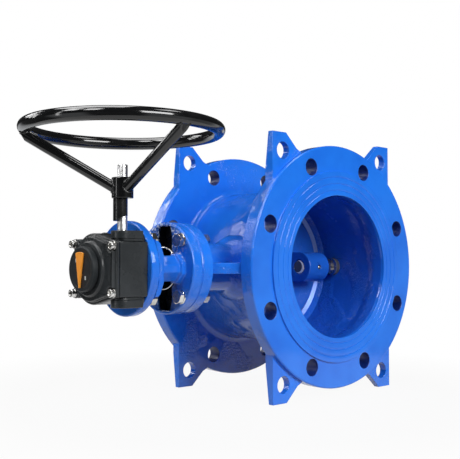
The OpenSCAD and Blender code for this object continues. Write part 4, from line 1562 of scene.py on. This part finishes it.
    def march(self, start: Vector, along: Vector, level: Callable[[Vector], float]) -> Vector:
        """Finds where a level rises to 0 along a line, by steps and then by halving.

        Args:
            start: The line's first point.
            along: Its direction.
            level: The level at a point.

        Returns:
            The first such point, or the start if there is none in reach.
        """
        step = self.reach / self.strides
        for i in range(1, self.strides + 1):
            if level(start + along * (step * i)) >= 0:
                low, high = step * (i - 1), step * i
                for _ in range(self.halvings):
                    mid = (low + high) / 2
                    low, high = (low, mid) if level(start + along * mid) >= 0 else (mid, high)
                return start + along * high
        return start

    def dress(self) -> None:
        """Dresses the piece whose CAD shape stays."""
        dress("hub_pin", TURNED_X)


# -------------------------------------------------------------------- studio


@dataclass(frozen=True)
class Softbox:
    """A rectangular studio lamp aimed at a point, or level and turned about Z.

    A lamp that does not light is a white card: it only shows in glossy surfaces.
    """

    name: str
    position: tuple[float, float, float]
    target: tuple[float, float, float]
    size: tuple[float, float]
    power: float
    turn: Optional[float] = None
    lights: bool = True

    def build(self) -> None:
        """Adds the lamp to the scene."""
        lamp = bpy.data.lights.new(self.name, "AREA")
        lamp.shape = "RECTANGLE"
        lamp.size, lamp.size_y = self.size
        lamp.energy = self.power
        obj = as_object(self.name, lamp)
        obj.location = self.position
        aim = Vector(self.target) - Vector(self.position)
        if self.turn is None:
            obj.rotation_euler = aim.to_track_quat("-Z", "Y").to_euler()
        else:
            obj.rotation_euler = (0.0, 0.0, math.radians(self.turn))
        obj.visible_diffuse = self.lights
        obj.visible_camera = False


GEARBOX_SPOT, PIPE_SPOT = (-0.32, 0.06, 0.16), (-0.1, 0.1, 0.0)
CARD_TURN = -42.0


@dataclass
class Studio:
    """A pale floor, a white surround with two dark sides, soft lamps and the camera.

    panels gives the surround's brightness at bearings from the view's direction, in degrees. band
    is where the surround fades out upwards, as the sine of the height angle.
    """

    eye: tuple[float, float, float] = (-0.8712, -0.7283, 0.0112)
    yaw: float = -42.355
    pitch: float = 92.083
    lens: float = 62.5
    floor_r: float = 0.62
    floor_center: tuple[float, float] = (-0.10, 0.10)
    floor_share: float = 0.94
    shade: float = 0.035
    band_light: float = 0.15
    floor_fade: tuple[float, float] = (0.5, 0.97)
    sky: Color = (0.95, 0.975, 1.0)
    band: tuple[float, float] = (-0.02, 0.10)
    panels: tuple[tuple[float, float], ...] = (
        (-180.0, 0.04), (-152.0, 0.04), (-140.0, 0.6), (-98.0, 0.6), (-89.0, 0.36), (-60.0, 0.36),
        (-48.0, 0.9), (40.0, 0.9), (52.0, 0.05), (98.0, 0.05), (108.0, 0.7), (142.0, 0.7),
        (154.0, 0.04), (180.0, 0.04),
    )
    lamps: tuple[Softbox, ...] = (
        Softbox("card_overhead_left", (-0.56, 0.59, 1.75), GEARBOX_SPOT, (1.18, 1.3), 30.0, CARD_TURN,
                lights=False),
        Softbox("card_overhead_right", (0.37, -0.58, 1.75), GEARBOX_SPOT, (0.46, 0.7), 6.5, CARD_TURN,
                lights=False),
        *(Softbox(f"lamp_left_back_{i}", (-1.50 + 0.30 * i, 1.50 + 0.10 * i, 0.66 + 0.18 * i),
                  PIPE_SPOT, (0.13, 0.62), 2.6) for i in range(4)),
        *(Softbox(f"lamp_left_high_{i}", (-1.75, -0.42 + 0.75 * i, 1.6), PIPE_SPOT, (0.5, 0.7), 14.0)
          for i in range(2)),
        Softbox("lamp_left_edge", (-1.85, 0.45, 0.35), PIPE_SPOT, (0.12, 1.1), 2.4),
        Softbox("lamp_front", (-0.2, -2.0, 0.95), (0.0, 0.1, 0.0), (1.3, 0.9), 52.0),
    )

    def build(self) -> None:
        """Adds floor, world, lamps and camera, and sets the view transform."""
        self.floor()
        self.world()
        for lamp in self.lamps:
            lamp.build()
        data = bpy.data.cameras.new("view")
        data.lens, data.sensor_width = self.lens, 36.0
        data.clip_start, data.clip_end = 0.01, 50.0
        camera = as_object("view", data)
        camera.location = self.eye
        camera.rotation_euler = (math.radians(self.pitch), 0.0, math.radians(self.yaw))
        bpy.context.scene.camera = camera
        bpy.context.scene.view_settings.view_transform = "Standard"

    def floor(self) -> None:
        """A round pale floor that fades to plain white and keeps the object's shadow."""
        centre = Vector((*self.floor_center, CAD_BOX[0].z))
        rim = [centre + Vector((x, y, 0.0)) for x, y in arc(0.0, 0.0, self.floor_r, 0, 360, 96)[:-1]]
        mesh = bpy.data.meshes.new("studio_floor")
        mesh.from_pydata([tuple(p) for p in rim], [], [tuple(range(len(rim)))])
        g = Graph("studio_floor_white")
        g.surface((0.34, 0.34, 0.34), 0.6)
        glow = g.node("ShaderNodeEmission", {"Color": (1.0, 1.0, 1.0, 1.0)}).outputs["Emission"]
        away = g.measure("DISTANCE", g.place, tuple(centre))
        near, far = (self.floor_r * part for part in self.floor_fade)
        share = g.span(away, near, far, self.floor_share, 1.0)
        mix = g.node("ShaderNodeMixShader", {"Fac": g.times(self.seen(g), share),
                                             1: g.shader.outputs["BSDF"], 2: glow})
        g.feed(g.out.inputs["Surface"], mix.outputs["Shader"])
        mesh.materials.append(g.material)
        obj = as_object("studio_floor", mesh)

    @staticmethod
    def seen(g: Nodes, *, mirrored: bool = True) -> Socket:
        """1 for rays that see the background directly, through glass or, if asked, in a mirror.

        Args:
            g: The tree to build in.
            mirrored: True to count glossy rays.

        Returns:
            The ray's share of plain white.
        """
        path = g.node("ShaderNodeLightPath").outputs
        clear = g.calc("MAXIMUM", path["Is Camera Ray"], path["Is Transmission Ray"])
        return g.calc("MAXIMUM", clear, path["Is Glossy Ray"]) if mirrored else clear

    def world(self) -> None:
        """White to the camera. In mirrors and as light it is a low white band round a dim room."""
        world = bpy.data.worlds.new("studio_room")
        world.use_nodes = True
        g = Nodes(world.node_tree)
        direction = g.node("ShaderNodeTexCoord").outputs["Generated"]
        turn = math.radians(self.yaw + 90.0)
        ahead, left, height = (g.measure("DOT_PRODUCT", direction, way) for way in (
            (math.cos(turn), math.sin(turn), 0.0), (-math.sin(turn), math.cos(turn), 0.0), AXIS_Z))
        bearing = g.span(g.calc("ARCTAN2", left, ahead), -math.pi, math.pi)
        ramp = g.node("ShaderNodeValToRGB", {"Fac": bearing})
        stops = ramp.color_ramp.elements
        for number, (angle, level) in enumerate(self.panels):
            spot = (angle + 180.0) / 360.0
            stop = stops[number] if number < 2 else stops.new(spot)
            stop.position, stop.color = spot, (level, level, level, 1.0)
        glossy = g.node("ShaderNodeLightPath").outputs["Is Glossy Ray"]
        band = g.times(ramp.outputs["Color"], g.span(height, *self.band, 1.0, 0.0),
                       g.span(glossy, 0.0, 1.0, self.band_light, 1.0))
        room = g.node("ShaderNodeBackground", {"Color": (*self.sky, 1.0),
                                               "Strength": g.calc("ADD", band, self.shade)})
        white = g.node("ShaderNodeBackground", {"Color": (1.0, 1.0, 1.0, 1.0)})
        mix = g.node("ShaderNodeMixShader", {"Fac": self.seen(g, mirrored=False),
                                             1: room.outputs["Background"],
                                             2: white.outputs["Background"]})
        g.node("ShaderNodeOutputWorld", {"Surface": mix.outputs["Shader"]})
        bpy.context.scene.world = world


def main() -> None:
    """Builds every sub-assembly in order, then the studio."""
    logging.basicConfig(level=logging.INFO, format="%(name)s: %(message)s")
    pattern = FastenerPattern()
    casting, bracket, gearbox = ValveCasting(), MountingBracket(), WormGearbox()
    stem, wheel = DiscAndStem(), HandWheel()
    for part in (casting, bracket, gearbox, stem):
        part.build(pattern)
    wheel.build()
    for part in (casting, bracket, stem, wheel):
        part.dress()
    Studio().build()


if __name__ == "__main__":
    main()
